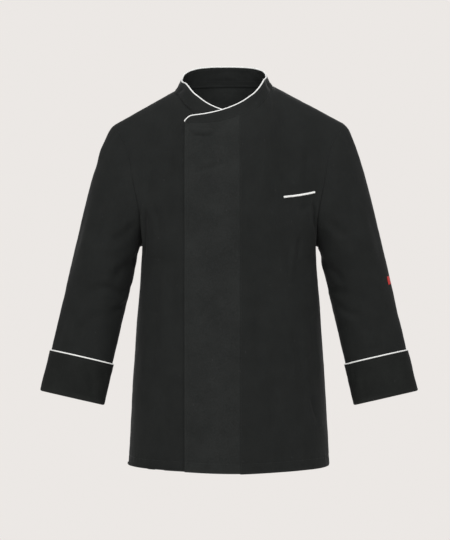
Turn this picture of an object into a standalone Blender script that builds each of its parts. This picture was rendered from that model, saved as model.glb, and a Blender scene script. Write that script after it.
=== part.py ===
"""Chef jacket, worn shape, hollow.

Metres. +Z is up, -Y is the front and +X is the wearer's left. The origin lies midway between the
shoulders, level with the points where the shoulder seams meet the collar, where a wearer holds it up.

Every cloth piece is a flat grid, the cut cloth, laid on one of the garment's forms and given its
thickness inwards. A form takes a share across the cloth and a share up it, and gives a place on the
garment's outer face.
"""

import math

import bmesh
import bpy
import numpy as np
from mathutils import Vector
from mathutils.bvhtree import BVHTree

# ---------------------------------------------------------------- cloth, seams and trim
CLOTH = 0.0016  # wall of one layer
DOUBLE_CLOTH = 0.0022  # wall of two layers pressed together: collar, cuffs, front band
SEAM_GAP = 0.0003  # between pieces that are sewn together
SHOULDER_GAP = 0.0006  # at the shoulder seams, where the walls lean together
COLLAR_GAP = 0.0008  # at the neck seam, where the walls lean together at the throat
ARMHOLE_GAP = 0.0014  # at the armhole seams, where they lean together over the shoulder
LAP_GAP = 0.0020  # between the underlap and the front band, where the press studs sit
BAND_RISE = LAP_GAP + DOUBLE_CLOTH  # outer face of the band above the underlap
PIPING_RADIUS = 0.0017

# ---------------------------------------------------------------- torso
HEM_HEIGHT = -0.7480
UNDERARM_HEIGHT = -0.3000
# From the underarms to the middle the cloth's level lines dip, so that they meet the armholes at an angle.
UNDERARM_DIP = 0.0420
UNDERARM_DIP_POWER = 8  # how close to the side seams they do
TORSO_COLUMNS = ("height", "half_width", "front_depth", "back_depth")
TORSO = (
    (-0.7480, 0.2005, 0.1360, 0.1270),
    (-0.6500, 0.1950, 0.1350, 0.1220),
    (-0.5500, 0.1893, 0.1335, 0.1170),
    (-0.4500, 0.1820, 0.1310, 0.1150),
    (-0.3600, 0.1752, 0.1285, 0.1170),
    (-0.3000, 0.1725, 0.1270, 0.1190),
)
SQUARENESS = {"front": 2.35, "back": 2.50}  # exponent of the section's outline, 2 is an ellipse

# ---------------------------------------------------------------- neck and shoulders
NECK_CENTRE = -0.0100  # the neck sits a little towards the wearer's right
NECK_HALF_WIDTH = 0.0980
NECK_POINT_HEIGHT = {"right": -0.0040, "left": 0.0055}  # where shoulder seam meets collar
SHOULDER_TIP_ACROSS = {"right": 0.2312, "left": 0.2300}
SHOULDER_TIP_HEIGHT = {"right": -0.0736, "left": -0.0700}
NECK_SHARE = 0.42  # share of a half panel's top edge that is neck, the rest is shoulder
FRONT_RING_DEPTH = 0.0800  # the front form runs on above the neck seam to this ring
FRONT_RING_HEIGHT = -0.0450
BACK_NECK_DEPTH = 0.0640
BACK_NECK_HEIGHT = 0.0120
# Neck seam of a front, by the distance past the neck's centre line. The neck point ends it.
NECKLINE_COLUMNS = ("past_centre", "height")
NECKLINE = (
    (-0.0780, -0.0765),
    (-0.0330, -0.0770),
    (0.0060, -0.0710),
    (0.0310, -0.0620),
    (0.0550, -0.0520),
    (0.0710, -0.0415),
    (0.0860, -0.0210),
)

# ---------------------------------------------------------------- armholes
# The angle runs from the underarm (0) over the front or back edge (90) to the shoulder tip (180).
ARMHOLE_COLUMNS = ("angle", "front_across", "back_across")
ARMHOLE = (
    (0.0, 0.1725, 0.1725),
    (50.0, 0.1735, 0.1730),
    (90.0, 0.1880, 0.1840),
    (120.0, 0.1990, 0.1970),
    (145.0, 0.2170, 0.2160),
    (165.0, 0.2275, 0.2275),
    (180.0, 0.2300, 0.2300),
)
ARMHOLE_DEPTH = {"front": 0.0680, "back": 0.0700}
ARMHOLE_LOW_BULGE = 0.20  # the armhole is deeper front to back in its lower half

# ---------------------------------------------------------------- fronts
BAND_EDGE = -0.0850  # the free edge of the front band
BAND_SEAM = 0.0210  # where the band is sewn to the left front
UNDERLAP_EDGE = 0.0180  # the hidden edge of the right front
BAND_SETTLE = 0.0500  # past its seam the left front settles back to the body over this distance
UNDERLAP_HEM_RISE = 0.0022  # the underlap is a little shorter than what covers it

# ---------------------------------------------------------------- sleeves
SLEEVE_LEAN = math.radians(12.9)  # out from vertical
SLEEVE_AXIS_ACROSS = 0.2560  # the axis passes here at the next height
SLEEVE_AXIS_HEIGHT = -0.3740
FOREARM_LEAN = math.radians(7.0)  # the rings tip up at the front by this at the cuff
SLEEVE_COLUMNS = ("height", "half_width", "half_depth", "centre_depth")
SLEEVE = (
    (-0.3250, 0.0625, 0.0700, 0.0040),
    (-0.4200, 0.0628, 0.0540, 0.0010),
    (-0.5200, 0.0622, 0.0400, -0.0100),
    (-0.6150, 0.0628, 0.0300, -0.0225),
)
CUFF_HEIGHT = 0.0800  # of the turned-back layer, measured up from the fold
CUFF_INNER_HEIGHT = 0.0260  # how far the cuff runs up inside the sleeve
CUFF_CLEARANCE = 0.0007  # between the cuff's layers and the sleeve
SLEEVE_END_ABOVE_FOLD = 0.0038

# ---------------------------------------------------------------- collar
# How far the collar's free edge leans in and stands up from the neck seam, by the angle round the
# neck: 0 is the centre front, 90 the shoulder seam, 180 the back. Both sides are cut alike.
COLLAR_COLUMNS = ("angle", "lean", "stand")
COLLAR = (
    (-40.0, 0.0050, 0.0125),
    (-20.0, 0.0085, 0.0195),
    (0.0, 0.0105, 0.0245),
    (20.0, 0.0120, 0.0270),
    (40.0, 0.0130, 0.0320),
    (60.0, 0.0125, 0.0310),
    (80.0, 0.0120, 0.0235),
    (92.0, 0.0120, 0.0200),
    (108.0, 0.0110, 0.0260),
    (128.0, 0.0090, 0.0330),
    (150.0, 0.0070, 0.0365),
    (180.0, 0.0060, 0.0375),
)
COLLAR_RIGHT_STAND = 0.0035  # the right shoulder seam is lower, and the collar there stands taller
COLLAR_END_RADIUS = 0.0110  # the outer end is rounded
COLLAR_END_REACH = 0.1280  # from the neck's centre line to the outer end
COLLAR_PIPING_GAP = 0.0006

# ---------------------------------------------------------------- small pieces
POCKET_FROM = (0.1055, -0.2204)  # across, height of the pocket mouth's inner end
POCKET_TO = (0.1670, -0.2099)
POCKET_SAG = 0.0012
POCKET_PIPING_RADIUS = 0.0020
POCKET_PIPING_GAP = 0.0005
POCKET_BAG_GAP = 0.0009
STUD_HEIGHTS = (-0.1300, -0.2300, -0.3300, -0.4300, -0.5300, -0.6300)
STUD_IN_FROM_EDGE = 0.0130
STUD_RADIUS = 0.0060
STUD_THICKNESS = 0.0012
LABEL_TURNS = (158.5, 169.5)  # round the left sleeve, 180 is its outer side
LABEL_HEIGHTS = (-0.4040, -0.3880)  # of the sleeve's axis
LABEL_WALL = 0.0010

# ---------------------------------------------------------------- how finely the cloth is divided
ROWS_BELOW_UNDERARM = 8
# Shares of the way from the underarm to the neck or shoulder. The last is close to the seam, so that
# the wall there stands square to the seam. The sleeve's columns are at the same places.
UPPER_ROWS = (0.125, 0.250, 0.375, 0.500, 0.625, 0.750, 0.875, 0.965, 1.0)
# Shares of the way from the middle to the side seam, past the neck point. The last but one is close
# to the seam for the same reason.
SHOULDER_SHARES = (0.536, 0.652, 0.768, 0.884, 0.985, 1.0)
NECK_COLUMNS = 4
LAP_COLUMNS = 4
SLEEVE_CAP_ROWS = 6
COLLAR_COLUMNS_ROUND = 40
SLEEVE_RINGS = (-0.3250, -0.3600, -0.4080, -0.4480, -0.4920, -0.5400, -0.5850)
PIPING_RESOLUTION = 1  # six sides

BLACK = (0.018, 0.020, 0.019)
WHITE = (0.80, 0.80, 0.77)
RED = (0.55, 0.03, 0.03)
STEEL = (0.30, 0.30, 0.31)


# ---------------------------------------------------------------- curves
def hermite(start, start_slope, end, end_slope, t):
    """Cubic from start to end with the given slopes, at t from 0 to 1."""
    return (
        (2 * t**3 - 3 * t**2 + 1) * start
        + (t**3 - 2 * t**2 + t) * start_slope
        + (3 * t**2 - 2 * t**3) * end
        + (t**3 - t**2) * end_slope
    )


def smooth_table(rows, columns, key, value, at):
    """Value of a named column where the key column is at, on a smooth curve through the rows."""
    table = np.array(sorted(rows, key=lambda row: row[columns.index(key)]))
    xs, ys = table[:, columns.index(key)], table[:, columns.index(value)]
    slopes = np.gradient(ys, xs)
    at = np.clip(at, xs[0], xs[-1])
    i = np.clip(np.searchsorted(xs, at) - 1, 0, len(xs) - 2)
    width = xs[i + 1] - xs[i]
    t = (at - xs[i]) / width
    return hermite(ys[i], slopes[i] * width, ys[i + 1], slopes[i + 1] * width, t)


def ease(t):
    """0 to 1 with level ends."""
    t = np.clip(t, 0, 1)
    return t * t * (3 - 2 * t)


def mix(start, end, t):
    return start + (end - start) * t


def places(across, depth, height):
    """An array of places from three arrays."""
    return np.stack(np.broadcast_arrays(across, depth, height), axis=-1).astype(float)


def unit(vectors):
    return vectors / np.linalg.norm(vectors, axis=-1, keepdims=True)


def solve(function, low, high, rounds=34):
    """Where a rising function crosses 0 between two arrays, by halving."""
    low, high = np.array(low, float), np.array(high, float)
    for _ in range(rounds):
        middle = (low + high) / 2
        below = function(middle) < 0
        low = np.where(below, middle, low)
        high = np.where(below, high, middle)
    return (low + high) / 2


# ---------------------------------------------------------------- the body's form
def per_side(values, share):
    """The right or left one of two named values, for each share."""
    return np.where(share < 0, values["right"], values["left"])


def torso_section(share, height, face):
    """A point of the torso's level section: share -1 and 1 are the side seams, 0 the middle."""
    half_width = smooth_table(TORSO, TORSO_COLUMNS, "height", "half_width", height)
    depth = smooth_table(TORSO, TORSO_COLUMNS, "height", face + "_depth", height)
    across = np.sin(share * math.pi / 2)
    power = SQUARENESS[face]
    forward = depth * np.clip(1 - np.abs(across) ** power, 0, 1) ** (1 / power)
    return places(half_width * across, -forward if face == "front" else forward, height)


def armhole(angle, side, face):
    """A point of the armhole seam. The angle is in degrees."""
    sign = -1 if side == "right" else 1
    turn = np.radians(angle)
    upper_share = (1 - np.cos(turn)) / 2
    across = smooth_table(ARMHOLE, ARMHOLE_COLUMNS, "angle", face + "_across", angle)
    across = across + (SHOULDER_TIP_ACROSS[side] - ARMHOLE[-1][1]) * upper_share
    height = mix(UNDERARM_HEIGHT, SHOULDER_TIP_HEIGHT[side], upper_share)
    depth = ARMHOLE_DEPTH[face] * np.sin(turn) * (1 + ARMHOLE_LOW_BULGE * np.cos(turn))
    return places(sign * across, -depth if face == "front" else depth, height)


def top_edge(share, face):
    """Where a column of the form ends: on the neck ring near the middle, then on the shoulder."""
    sign = np.where(share < 0, -1, 1)
    neck_height = per_side(NECK_POINT_HEIGHT, share)
    turn = np.clip(np.abs(share) / NECK_SHARE, 0, 1) * math.pi / 2
    if face == "front":
        ring_depth = -FRONT_RING_DEPTH * np.cos(turn) ** 0.8
        ring_height = mix(FRONT_RING_HEIGHT, neck_height, (1 - np.cos(turn)) ** 0.7)
    else:
        ring_depth = BACK_NECK_DEPTH * np.cos(turn) ** 0.8
        ring_height = mix(BACK_NECK_HEIGHT, neck_height, 1 - np.cos(turn))
    ring = places(NECK_CENTRE + sign * NECK_HALF_WIDTH * np.sin(turn), ring_depth, ring_height)
    neck_point = places(NECK_CENTRE + sign * NECK_HALF_WIDTH, 0, neck_height)
    tip = places(sign * per_side(SHOULDER_TIP_ACROSS, share), 0, per_side(SHOULDER_TIP_HEIGHT, share))
    along = np.clip((np.abs(share) - NECK_SHARE) / (1 - NECK_SHARE), 0, 1)[..., None]
    return np.where((np.abs(share) <= NECK_SHARE)[..., None], ring, mix(neck_point, tip, along))


def top_slope(share, face):
    """Direction and speed with which a column of the form arrives at its top edge."""
    backwards, upwards = (0.125, 0.215) if face == "front" else (-0.080, 0.240)
    over = 0.230 if face == "front" else -0.230
    to_shoulder = ease(np.abs(share) / NECK_SHARE)
    return places(0, mix(backwards, over, to_shoulder), mix(upwards, 0, to_shoulder))


def underarm_height(share):
    """Height of the form's line that passes under both arms."""
    return UNDERARM_HEIGHT - UNDERARM_DIP * (1 - np.abs(share) ** UNDERARM_DIP_POWER)


def body(share, rise, face):
    """The body's outer face. share runs from the right side seam (-1) over the middle (0) to the
    left one (1), rise from the hem (0) to the underarm (1) and on to the neck or shoulder (2)."""
    share, rise = np.broadcast_arrays(np.asarray(share, float), np.asarray(rise, float))
    height = mix(HEM_HEIGHT, underarm_height(share), np.clip(rise, 0, 1))
    lower = torso_section(share, height, face)
    t = np.clip(rise - 1, 0, 1)[..., None]
    start_slope = np.array((0.0, 0.0, 0.260))
    side = np.where(share < 0, -1.0, 1.0)
    columns = []
    for column in (share, side):
        start = torso_section(column, underarm_height(column), face)
        end = top_edge(column, face)
        columns.append(hermite(start, start_slope, end, top_slope(column, face), t))
    angle = 180 * t[..., 0]
    seam = np.where((share < 0)[..., None], armhole(angle, "right", face), armhole(angle, "left", face))
    upper = columns[0] + (np.abs(share) ** 4)[..., None] * (seam - columns[1])
    return np.where((rise > 1)[..., None], upper, lower)


def front(share, rise):
    return body(share, rise, "front")


def back(share, rise):
    return body(-np.asarray(share, float), rise, "back")


def outwards(form, share, rise):
    """Unit vector out of a form. Every form's share runs to the right for one who faces it."""
    step = 1e-4
    side = np.where(np.asarray(share) > 0, -step, step)
    up = np.where(np.asarray(rise) > 1, -step, step)
    here = form(share, rise)
    across = (form(share + side, rise) - here) / side[..., None]
    upwards = (form(share, rise + up) - here) / up[..., None]
    return unit(np.cross(across, upwards))


def moved_out(form, share, rise, distance):
    share, rise = np.broadcast_arrays(np.asarray(share, float), np.asarray(rise, float))
    distance = np.broadcast_to(distance, share.shape)[..., None]
    return form(share, rise) + outwards(form, share, rise) * distance


def share_at(across, rise):
    """The front's share at a distance across, for each rise."""
    rise = np.asarray(rise, float)
    low, high = np.full(rise.shape, -1.0), np.full(rise.shape, 1.0)
    return solve(lambda share: front(share, rise)[..., 0] - across, low, high)


def locate(across, height):
    """Share and rise of the front's point at a place in front view."""
    across, height = np.atleast_1d(across), np.atleast_1d(height)
    share, rise = np.zeros(len(across)), np.ones(len(across))
    for _ in range(12):
        share = share_at(across, rise)
        low, high = np.zeros(len(across)), np.full(len(across), 2.0)
        rise = solve(lambda r: front(share, r)[..., 2] - height, low, high)
    return share, rise


# ---------------------------------------------------------------- the fronts' cut
def neckline_height(across, side):
    """Height of a front's neck seam at a distance across."""
    past_centre = (across - NECK_CENTRE) * (-1 if side == "right" else 1)
    rows = NECKLINE + ((NECK_HALF_WIDTH, NECK_POINT_HEIGHT[side]),)
    return smooth_table(rows, NECKLINE_COLUMNS, "past_centre", "height", past_centre)


def top_rise(share_of_rise, side):
    """Rise at which a column reaches the neck seam or shoulder. Its share may vary with rise."""

    def above_seam(rise):
        place = front(share_of_rise(rise), rise)
        return place[..., 2] - neckline_height(place[..., 0], side)

    count = len(share_of_rise(np.array(1.5)))
    return solve(above_seam, np.full(count, 1.3), np.full(count, 2.0))


def front_grid(side, straight, to_side=True):
    """Shares and rises of a front's grid. Its first columns stand straight up at the given
    distances across, and the rest lead on from the last of them to the neck point and side seam."""
    sign = -1 if side == "right" else 1
    straight = np.array(straight)
    neck_part = np.linspace(0, 1, NECK_COLUMNS + 1)[1:] if to_side else np.zeros(0)
    shoulder_part = sign * np.array(SHOULDER_SHARES) if to_side else np.zeros(0)

    def shares(rise):
        rise = np.broadcast_to(rise, len(straight) + len(neck_part))
        upright = share_at(straight, rise[: len(straight)])
        last = share_at(straight[-1], rise[len(straight) :])
        return np.concatenate([upright, mix(last, sign * NECK_SHARE, neck_part)])

    tops = np.concatenate([top_rise(shares, side), np.full(len(shoulder_part), 2.0)])
    rises = row_rises(tops)
    neck_shares = np.array([shares(row[: len(straight) + len(neck_part)]) for row in rises])
    side_shares = np.broadcast_to(shoulder_part, (len(rises), len(shoulder_part)))
    return np.concatenate([neck_shares, side_shares], axis=1), rises


def row_rises(tops):
    """Rises of every row, for columns that end at the given rises."""
    low = np.linspace(0, 1, ROWS_BELOW_UNDERARM + 1)[:, None] * np.ones(len(tops))
    return np.concatenate([low, mix(1, tops, np.array(UPPER_ROWS)[:, None])])


def left_rise(across):
    """How far the left front stands above the body at a distance across."""
    return BAND_RISE * (1 - ease((across - BAND_SEAM) / BAND_SETTLE))


# ---------------------------------------------------------------- sleeves
def sleeve_ring(height, turn, side, out=0.0):
    """A point of the sleeve's section. turn is in degrees: 0 inner, 90 front, 180 outer."""
    sign = -1 if side == "right" else 1
    height = np.asarray(height, float)
    half_width = smooth_table(SLEEVE, SLEEVE_COLUMNS, "height", "half_width", height) + out
    half_depth = smooth_table(SLEEVE, SLEEVE_COLUMNS, "height", "half_depth", height) + out
    centre_depth = smooth_table(SLEEVE, SLEEVE_COLUMNS, "height", "centre_depth", height)
    axis = SLEEVE_AXIS_ACROSS + (SLEEVE_AXIS_HEIGHT - height) * math.tan(SLEEVE_LEAN)
    tip = FOREARM_LEAN * ease((SLEEVE[0][0] - height) / (SLEEVE[0][0] - SLEEVE[-1][0]))
    along_width = -np.cos(np.radians(turn)) * half_width
    along_depth = np.sin(np.radians(turn)) * half_depth
    across = axis + along_width * math.cos(SLEEVE_LEAN)
    depth = centre_depth - along_depth * np.cos(tip)
    rise = along_width * math.sin(SLEEVE_LEAN) + along_depth * np.sin(tip)
    return places(sign * across, depth, height + rise)


def sleeve_cap(share, turn, side):
    """The sleeve between the armhole (share 0) and its first ring (share 1)."""
    sign = -1 if side == "right" else 1
    turn = np.mod(turn, 360.0)
    angle = np.where(turn > 180, 360 - turn, turn)
    seam = np.where(
        (turn > 180)[..., None], armhole(angle, side, "back"), armhole(angle, side, "front")
    )
    ring = sleeve_ring(SLEEVE[0][0], turn, side)
    cosine, sine = np.cos(np.radians(turn)), np.sin(np.radians(turn))
    start_slope = places(
        sign * (0.0475 - 0.0275 * cosine + 0.0425 * sine**2),
        -0.012 * sine,
        -0.055 + 0.015 * cosine + 0.005 * sine**2,
    )
    axis = np.array((sign * math.sin(SLEEVE_LEAN), 0, -math.cos(SLEEVE_LEAN)))
    end_slope = axis * np.linalg.norm(ring - seam, axis=-1, keepdims=True)
    start = seam + unit(start_slope) * ARMHOLE_GAP
    return hermite(start, start_slope, ring, end_slope, np.asarray(share)[..., None])


def sleeve_grid(side):
    """Places of the whole sleeve, rows from the armhole down to the cuff's fold."""
    turns = sleeve_turns()
    shares = np.linspace(0, 1, SLEEVE_CAP_ROWS + 1)[:-1] ** 1.3
    cap = sleeve_cap(*np.broadcast_arrays(shares[:, None], turns), side)
    last = cuff_height_at(SLEEVE_END_ABOVE_FOLD)
    rings = np.array([*SLEEVE_RINGS, last])
    return np.concatenate([cap, sleeve_ring(*np.broadcast_arrays(rings[:, None], turns), side)])


def sleeve_turns():
    """The sleeve's columns, as angles round it from the underarm over the front and back again."""
    half = 180 * np.array((0.0, *UPPER_ROWS))
    return np.concatenate([half, (360 - half[::-1])[1:]])


def cuff_height_at(up):
    """Height on the sleeve's axis of a ring that lies up from the cuff's fold."""
    return SLEEVE[-1][0] + up * math.cos(SLEEVE_LEAN)


def cuff_grid(side):
    """Places of the cuff: the outer layer, the fold at the bottom and the layer inside."""
    outer = CUFF_CLEARANCE + DOUBLE_CLOTH / 2
    inner = -CLOTH - outer
    radius = (outer - inner) / 2
    fold = [
        (radius * (1 - math.sin(angle)), (outer + inner) / 2 + radius * math.cos(angle))
        for angle in np.radians((0, 45, 90, 135, 180))
    ]
    profile = [(CUFF_HEIGHT, outer), (CUFF_HEIGHT / 2, outer), *fold, (CUFF_INNER_HEIGHT, inner)]
    turns = sleeve_turns()
    return np.array([sleeve_ring(cuff_height_at(up), turns, side, out) for up, out in profile])


# ---------------------------------------------------------------- collar
def neck_seam(edges):
    """The neck seam from the band's free edge round the back to the right front's hidden edge, as
    places along the edges of the pieces that it joins, with each place's angle round the neck."""
    seam = np.concatenate(edges)
    angles = np.degrees(np.arctan2(seam[:, 0] - NECK_CENTRE, -seam[:, 1]))
    return seam, np.unwrap(angles, period=360)


def collar_up(angle):
    """From the neck seam to the collar's free edge at an angle round the neck, past 180 on the
    right side."""
    on_right = angle > 180
    folded = np.where(on_right, 360 - angle, angle)
    lean = smooth_table(COLLAR, COLLAR_COLUMNS, "angle", "lean", folded)
    stand = smooth_table(COLLAR, COLLAR_COLUMNS, "angle", "stand", folded)
    stand = stand + COLLAR_RIGHT_STAND * np.where(on_right, np.sin(np.radians(folded)) ** 2, 0)
    radians = np.radians(angle)
    return places(-lean * np.sin(radians), lean * np.cos(radians), stand)


def collar_stations(seam, angles):
    """Angles of the collar's columns, close together at its rounded end."""
    along = COLLAR_END_RADIUS * (1 - np.cos(np.radians((12, 38, 64, 90))))
    near_end = angles[0] + np.degrees(along / COLLAR_END_REACH)
    return np.concatenate([near_end[:-1], np.linspace(near_end[-1], angles[-1], COLLAR_COLUMNS_ROUND)])


def collar_grid(edges):
    """Places of the collar's outer face, rows from the neck seam up."""
    seam, angles = neck_seam(edges)
    stations = collar_stations(seam, angles)
    low = np.stack([np.interp(stations, angles, seam[:, k]) for k in range(3)], axis=-1)
    up = collar_up(stations)
    length = np.linalg.norm(up, axis=-1, keepdims=True)
    from_end = np.radians(stations - angles[0]) * COLLAR_END_REACH
    rounding = np.sqrt(1 - np.clip(1 - from_end / COLLAR_END_RADIUS, 0, 1) ** 2)[:, None]
    start = COLLAR_GAP / length
    return np.array([low + up * mix(start, rounding, share) for share in (0, 1 / 3, 2 / 3, 1)])


# ---------------------------------------------------------------- Blender objects
def clear_scene():
    for thing in list(bpy.data.objects):
        bpy.data.objects.remove(thing)


def collection(name):
    made = bpy.data.collections.new(name)
    bpy.context.scene.collection.children.link(made)
    return made


def material(name, colour, roughness, metallic=0.0):
    made = bpy.data.materials.new(name)
    made.use_nodes = True
    shader = made.node_tree.nodes["Principled BSDF"]
    shader.inputs["Base Color"].default_value = (*colour, 1.0)
    shader.inputs["Roughness"].default_value = roughness
    shader.inputs["Metallic"].default_value = metallic
    return made


def trimmed(grid, first_row=0.0, last_row=0.0, first_column=0.0, last_column=0.0):
    """The grid with its edges drawn in towards the next line of points by the given distances."""
    grid = grid.copy()
    for lines, distance in ((grid, first_row), (grid[::-1], last_row)):
        lines[0] += unit(lines[1] - lines[0]) * distance
    columns = grid.transpose(1, 0, 2)
    for lines, distance in ((columns, first_column), (columns[::-1], last_column)):
        lines[0] += unit(lines[1] - lines[0]) * distance
    return grid


def cloth(jacket, name, grid, wall, colour=BLACK, tube=False, centred=False):
    """One cut piece: a flat grid laid on its places, with its thickness inwards. It returns the
    facets of the outer face, to seat other pieces on them."""
    rows, columns = grid.shape[:2]
    mesh = bmesh.new()
    bmesh.ops.create_grid(mesh, x_segments=columns - 1, y_segments=rows - 1, size=1.0)
    for vert in mesh.verts:
        column = round((vert.co.x + 1) / 2 * (columns - 1))
        row = round((vert.co.y + 1) / 2 * (rows - 1))
        vert.co = Vector(grid[row, column])
    if tube:
        bmesh.ops.remove_doubles(mesh, verts=mesh.verts, dist=0.00001)
    bmesh.ops.triangulate(mesh, faces=mesh.faces, quad_method="FIXED")
    for face in mesh.faces:
        face.smooth = True
    facets = BVHTree.FromBMesh(mesh)
    data = bpy.data.meshes.new(name)
    mesh.to_mesh(data)
    mesh.free()
    made = bpy.data.objects.new(name, data)
    made.data.materials.append(material(name, colour, 0.85))
    thickness = made.modifiers.new("wall", "SOLIDIFY")
    thickness.thickness = wall
    thickness.offset = 0.0 if centred else -1.0
    jacket.objects.link(made)
    return facets


def piping(jacket, name, path, radius, closed=False, colour=WHITE):
    """A covered cord along a path of places."""
    curve = bpy.data.curves.new(name, "CURVE")
    curve.dimensions = "3D"
    curve.bevel_depth = radius
    curve.bevel_resolution = PIPING_RESOLUTION
    curve.use_fill_caps = not closed
    spline = curve.splines.new("POLY")
    spline.points.add(len(path) - 1)
    for point, place in zip(spline.points, path):
        point.co = (*place, 1.0)
    spline.use_cyclic_u = closed
    made = bpy.data.objects.new(name, curve)
    made.data.materials.append(material(name, colour, 0.6))
    jacket.objects.link(made)


# ---------------------------------------------------------------- the pieces
def shoulder_drawn_in(grid, on_shoulder):
    """The grid with its top row drawn in at the shoulder seam by half the seam's gap."""
    down = unit(grid[-2] - grid[-1]) * SHOULDER_GAP / 2
    grid[-1, on_shoulder] += down[on_shoulder]
    return grid


def make_back(jacket):
    neck = np.linspace(-NECK_SHARE, NECK_SHARE, 2 * NECK_COLUMNS + 1)
    shoulder = np.array(SHOULDER_SHARES)
    shares = np.concatenate([-shoulder[::-1], neck, shoulder])
    rises = row_rises(np.full(len(shares), 2.0))
    grid = back(shares, rises)
    edge = grid[-1, len(shoulder) : -len(shoulder)]
    grid = trimmed(grid, first_column=SEAM_GAP / 2, last_column=SEAM_GAP / 2)
    cloth(jacket, "back", shoulder_drawn_in(grid, np.abs(shares) >= NECK_SHARE), CLOTH)
    return edge


def make_right_front(jacket):
    """The right front. Its columns under the band stand where the band's do."""
    straight = [UNDERLAP_EDGE, *np.linspace(BAND_SEAM, BAND_EDGE, LAP_COLUMNS + 1)[1:]]
    shares, rises = front_grid("right", straight)
    rises[0] += UNDERLAP_HEM_RISE / (UNDERARM_HEIGHT - HEM_HEIGHT)
    grid = front(shares, rises)
    edge = grid[-1, : len(straight) + NECK_COLUMNS][::-1]
    on_shoulder = np.arange(grid.shape[1]) >= len(straight) + NECK_COLUMNS - 1
    grid = shoulder_drawn_in(trimmed(grid, last_column=SEAM_GAP / 2), on_shoulder)
    return edge, cloth(jacket, "front_right", grid[:, ::-1], CLOTH)


def make_left_front(jacket):
    shares, rises = front_grid("left", [BAND_SEAM])
    grid = moved_out(front, shares, rises, left_rise(front(shares, rises)[..., 0]))
    edge = grid[-1, : NECK_COLUMNS + 1]
    on_shoulder = np.arange(grid.shape[1]) >= NECK_COLUMNS
    trim = trimmed(grid, first_column=SEAM_GAP / 2, last_column=SEAM_GAP / 2)
    panel = cloth(jacket, "front_left", shoulder_drawn_in(trim, on_shoulder), CLOTH)
    make_pocket(jacket, shares, rises, panel)
    return edge


def make_band(jacket):
    """The front band: a doubled strip, free along one edge and sewn to the left front."""
    straight = np.linspace(BAND_EDGE, BAND_SEAM, LAP_COLUMNS + 1)
    shares, rises = front_grid("left", straight, to_side=False)
    grid = moved_out(front, shares, rises, BAND_RISE)
    cloth(jacket, "front_band", trimmed(grid, last_column=SEAM_GAP / 2), DOUBLE_CLOTH)
    return grid[-1]


def make_pocket(jacket, shares, rises, panel):
    """The piped pocket mouth on the left front and the plain bag behind it."""
    t = np.linspace(0, 1, 17)
    across = mix(POCKET_FROM[0], POCKET_TO[0], t)
    height = mix(POCKET_FROM[1], POCKET_TO[1], t) - 4 * POCKET_SAG * t * (1 - t)
    path = []
    for place in front(*locate(across, height)):
        on_panel, normal, _, _ = panel.find_nearest(Vector(place))
        path.append(on_panel + normal * (POCKET_PIPING_RADIUS + POCKET_PIPING_GAP))
    piping(jacket, "pocket_piping", path, POCKET_PIPING_RADIUS)
    rows = slice(ROWS_BELOW_UNDERARM - 1, ROWS_BELOW_UNDERARM + 3)
    columns = slice(NECK_COLUMNS, NECK_COLUMNS + 5)
    bag = moved_out(front, shares[rows, columns], rises[rows, columns], -CLOTH - POCKET_BAG_GAP)
    cloth(jacket, "pocket_bag", bag, CLOTH)


def make_sleeve(jacket, side):
    grid = sleeve_grid(side)[::-1]
    grid = grid if side == "left" else grid[:, ::-1]
    sleeve = cloth(jacket, "sleeve_" + side, grid, CLOTH, tube=True)
    if side == "left":
        make_label(jacket, sleeve)


def make_cuff(jacket, side):
    grid = cuff_grid(side)[::-1]
    grid = grid if side == "left" else grid[:, ::-1]
    cloth(jacket, "cuff_" + side, grid, DOUBLE_CLOTH, tube=True, centred=True)
    height = cuff_height_at(CUFF_HEIGHT + SEAM_GAP + PIPING_RADIUS)
    path = sleeve_ring(height, sleeve_turns()[:-1], side, PIPING_RADIUS + CUFF_CLEARANCE)
    piping(jacket, "cuff_piping_" + side, path, PIPING_RADIUS, closed=True)


def make_collar(jacket, edges):
    """The stand collar, one doubled strip round the neck, and the piping along its free edge."""
    grid = collar_grid(edges)
    cloth(jacket, "collar", grid, DOUBLE_CLOTH)
    edge = grid[-1]
    along = unit(np.gradient(edge, axis=0))
    up = edge - grid[-2]
    up = unit(up - along * np.sum(up * along, axis=-1, keepdims=True))
    inwards = unit(np.cross(up, along))
    path = edge + up * (COLLAR_PIPING_GAP + PIPING_RADIUS) + inwards * DOUBLE_CLOTH / 2
    piping(jacket, "collar_piping", path, PIPING_RADIUS)


def make_studs(jacket, underlap):
    """The hidden press studs, each pair closed, between the underlap and the band."""
    for number, height in enumerate(STUD_HEIGHTS, 1):
        name = f"stud_{number}"
        place = front(*locate(BAND_EDGE + STUD_IN_FROM_EDGE, height))[0]
        seat, normal, _, _ = underlap.find_nearest(Vector(place))
        mesh = bmesh.new()
        bmesh.ops.create_cone(
            mesh,
            cap_ends=True,
            segments=16,
            radius1=STUD_RADIUS,
            radius2=STUD_RADIUS,
            depth=STUD_THICKNESS,
        )
        data = bpy.data.meshes.new(name)
        mesh.to_mesh(data)
        mesh.free()
        stud = bpy.data.objects.new(name, data)
        stud.data.materials.append(material(name, STEEL, 0.35, 1.0))
        stud.location = seat + normal * LAP_GAP / 2
        stud.rotation_euler = normal.to_track_quat("Z", "Y").to_euler()
        jacket.objects.link(stud)


def make_label(jacket, sleeve):
    """A plain woven tab that lies on the left sleeve."""
    turns = np.linspace(*LABEL_TURNS, 3)
    heights = np.linspace(*LABEL_HEIGHTS, 3)
    grid = sleeve_ring(heights[:, None], turns[None, :], "left")
    for row in grid:
        for column, place in enumerate(row):
            seat, normal, _, _ = sleeve.find_nearest(Vector(place))
            row[column] = seat + normal * (SEAM_GAP + LABEL_WALL)
    cloth(jacket, "sleeve_label", grid, LABEL_WALL, RED)


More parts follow.
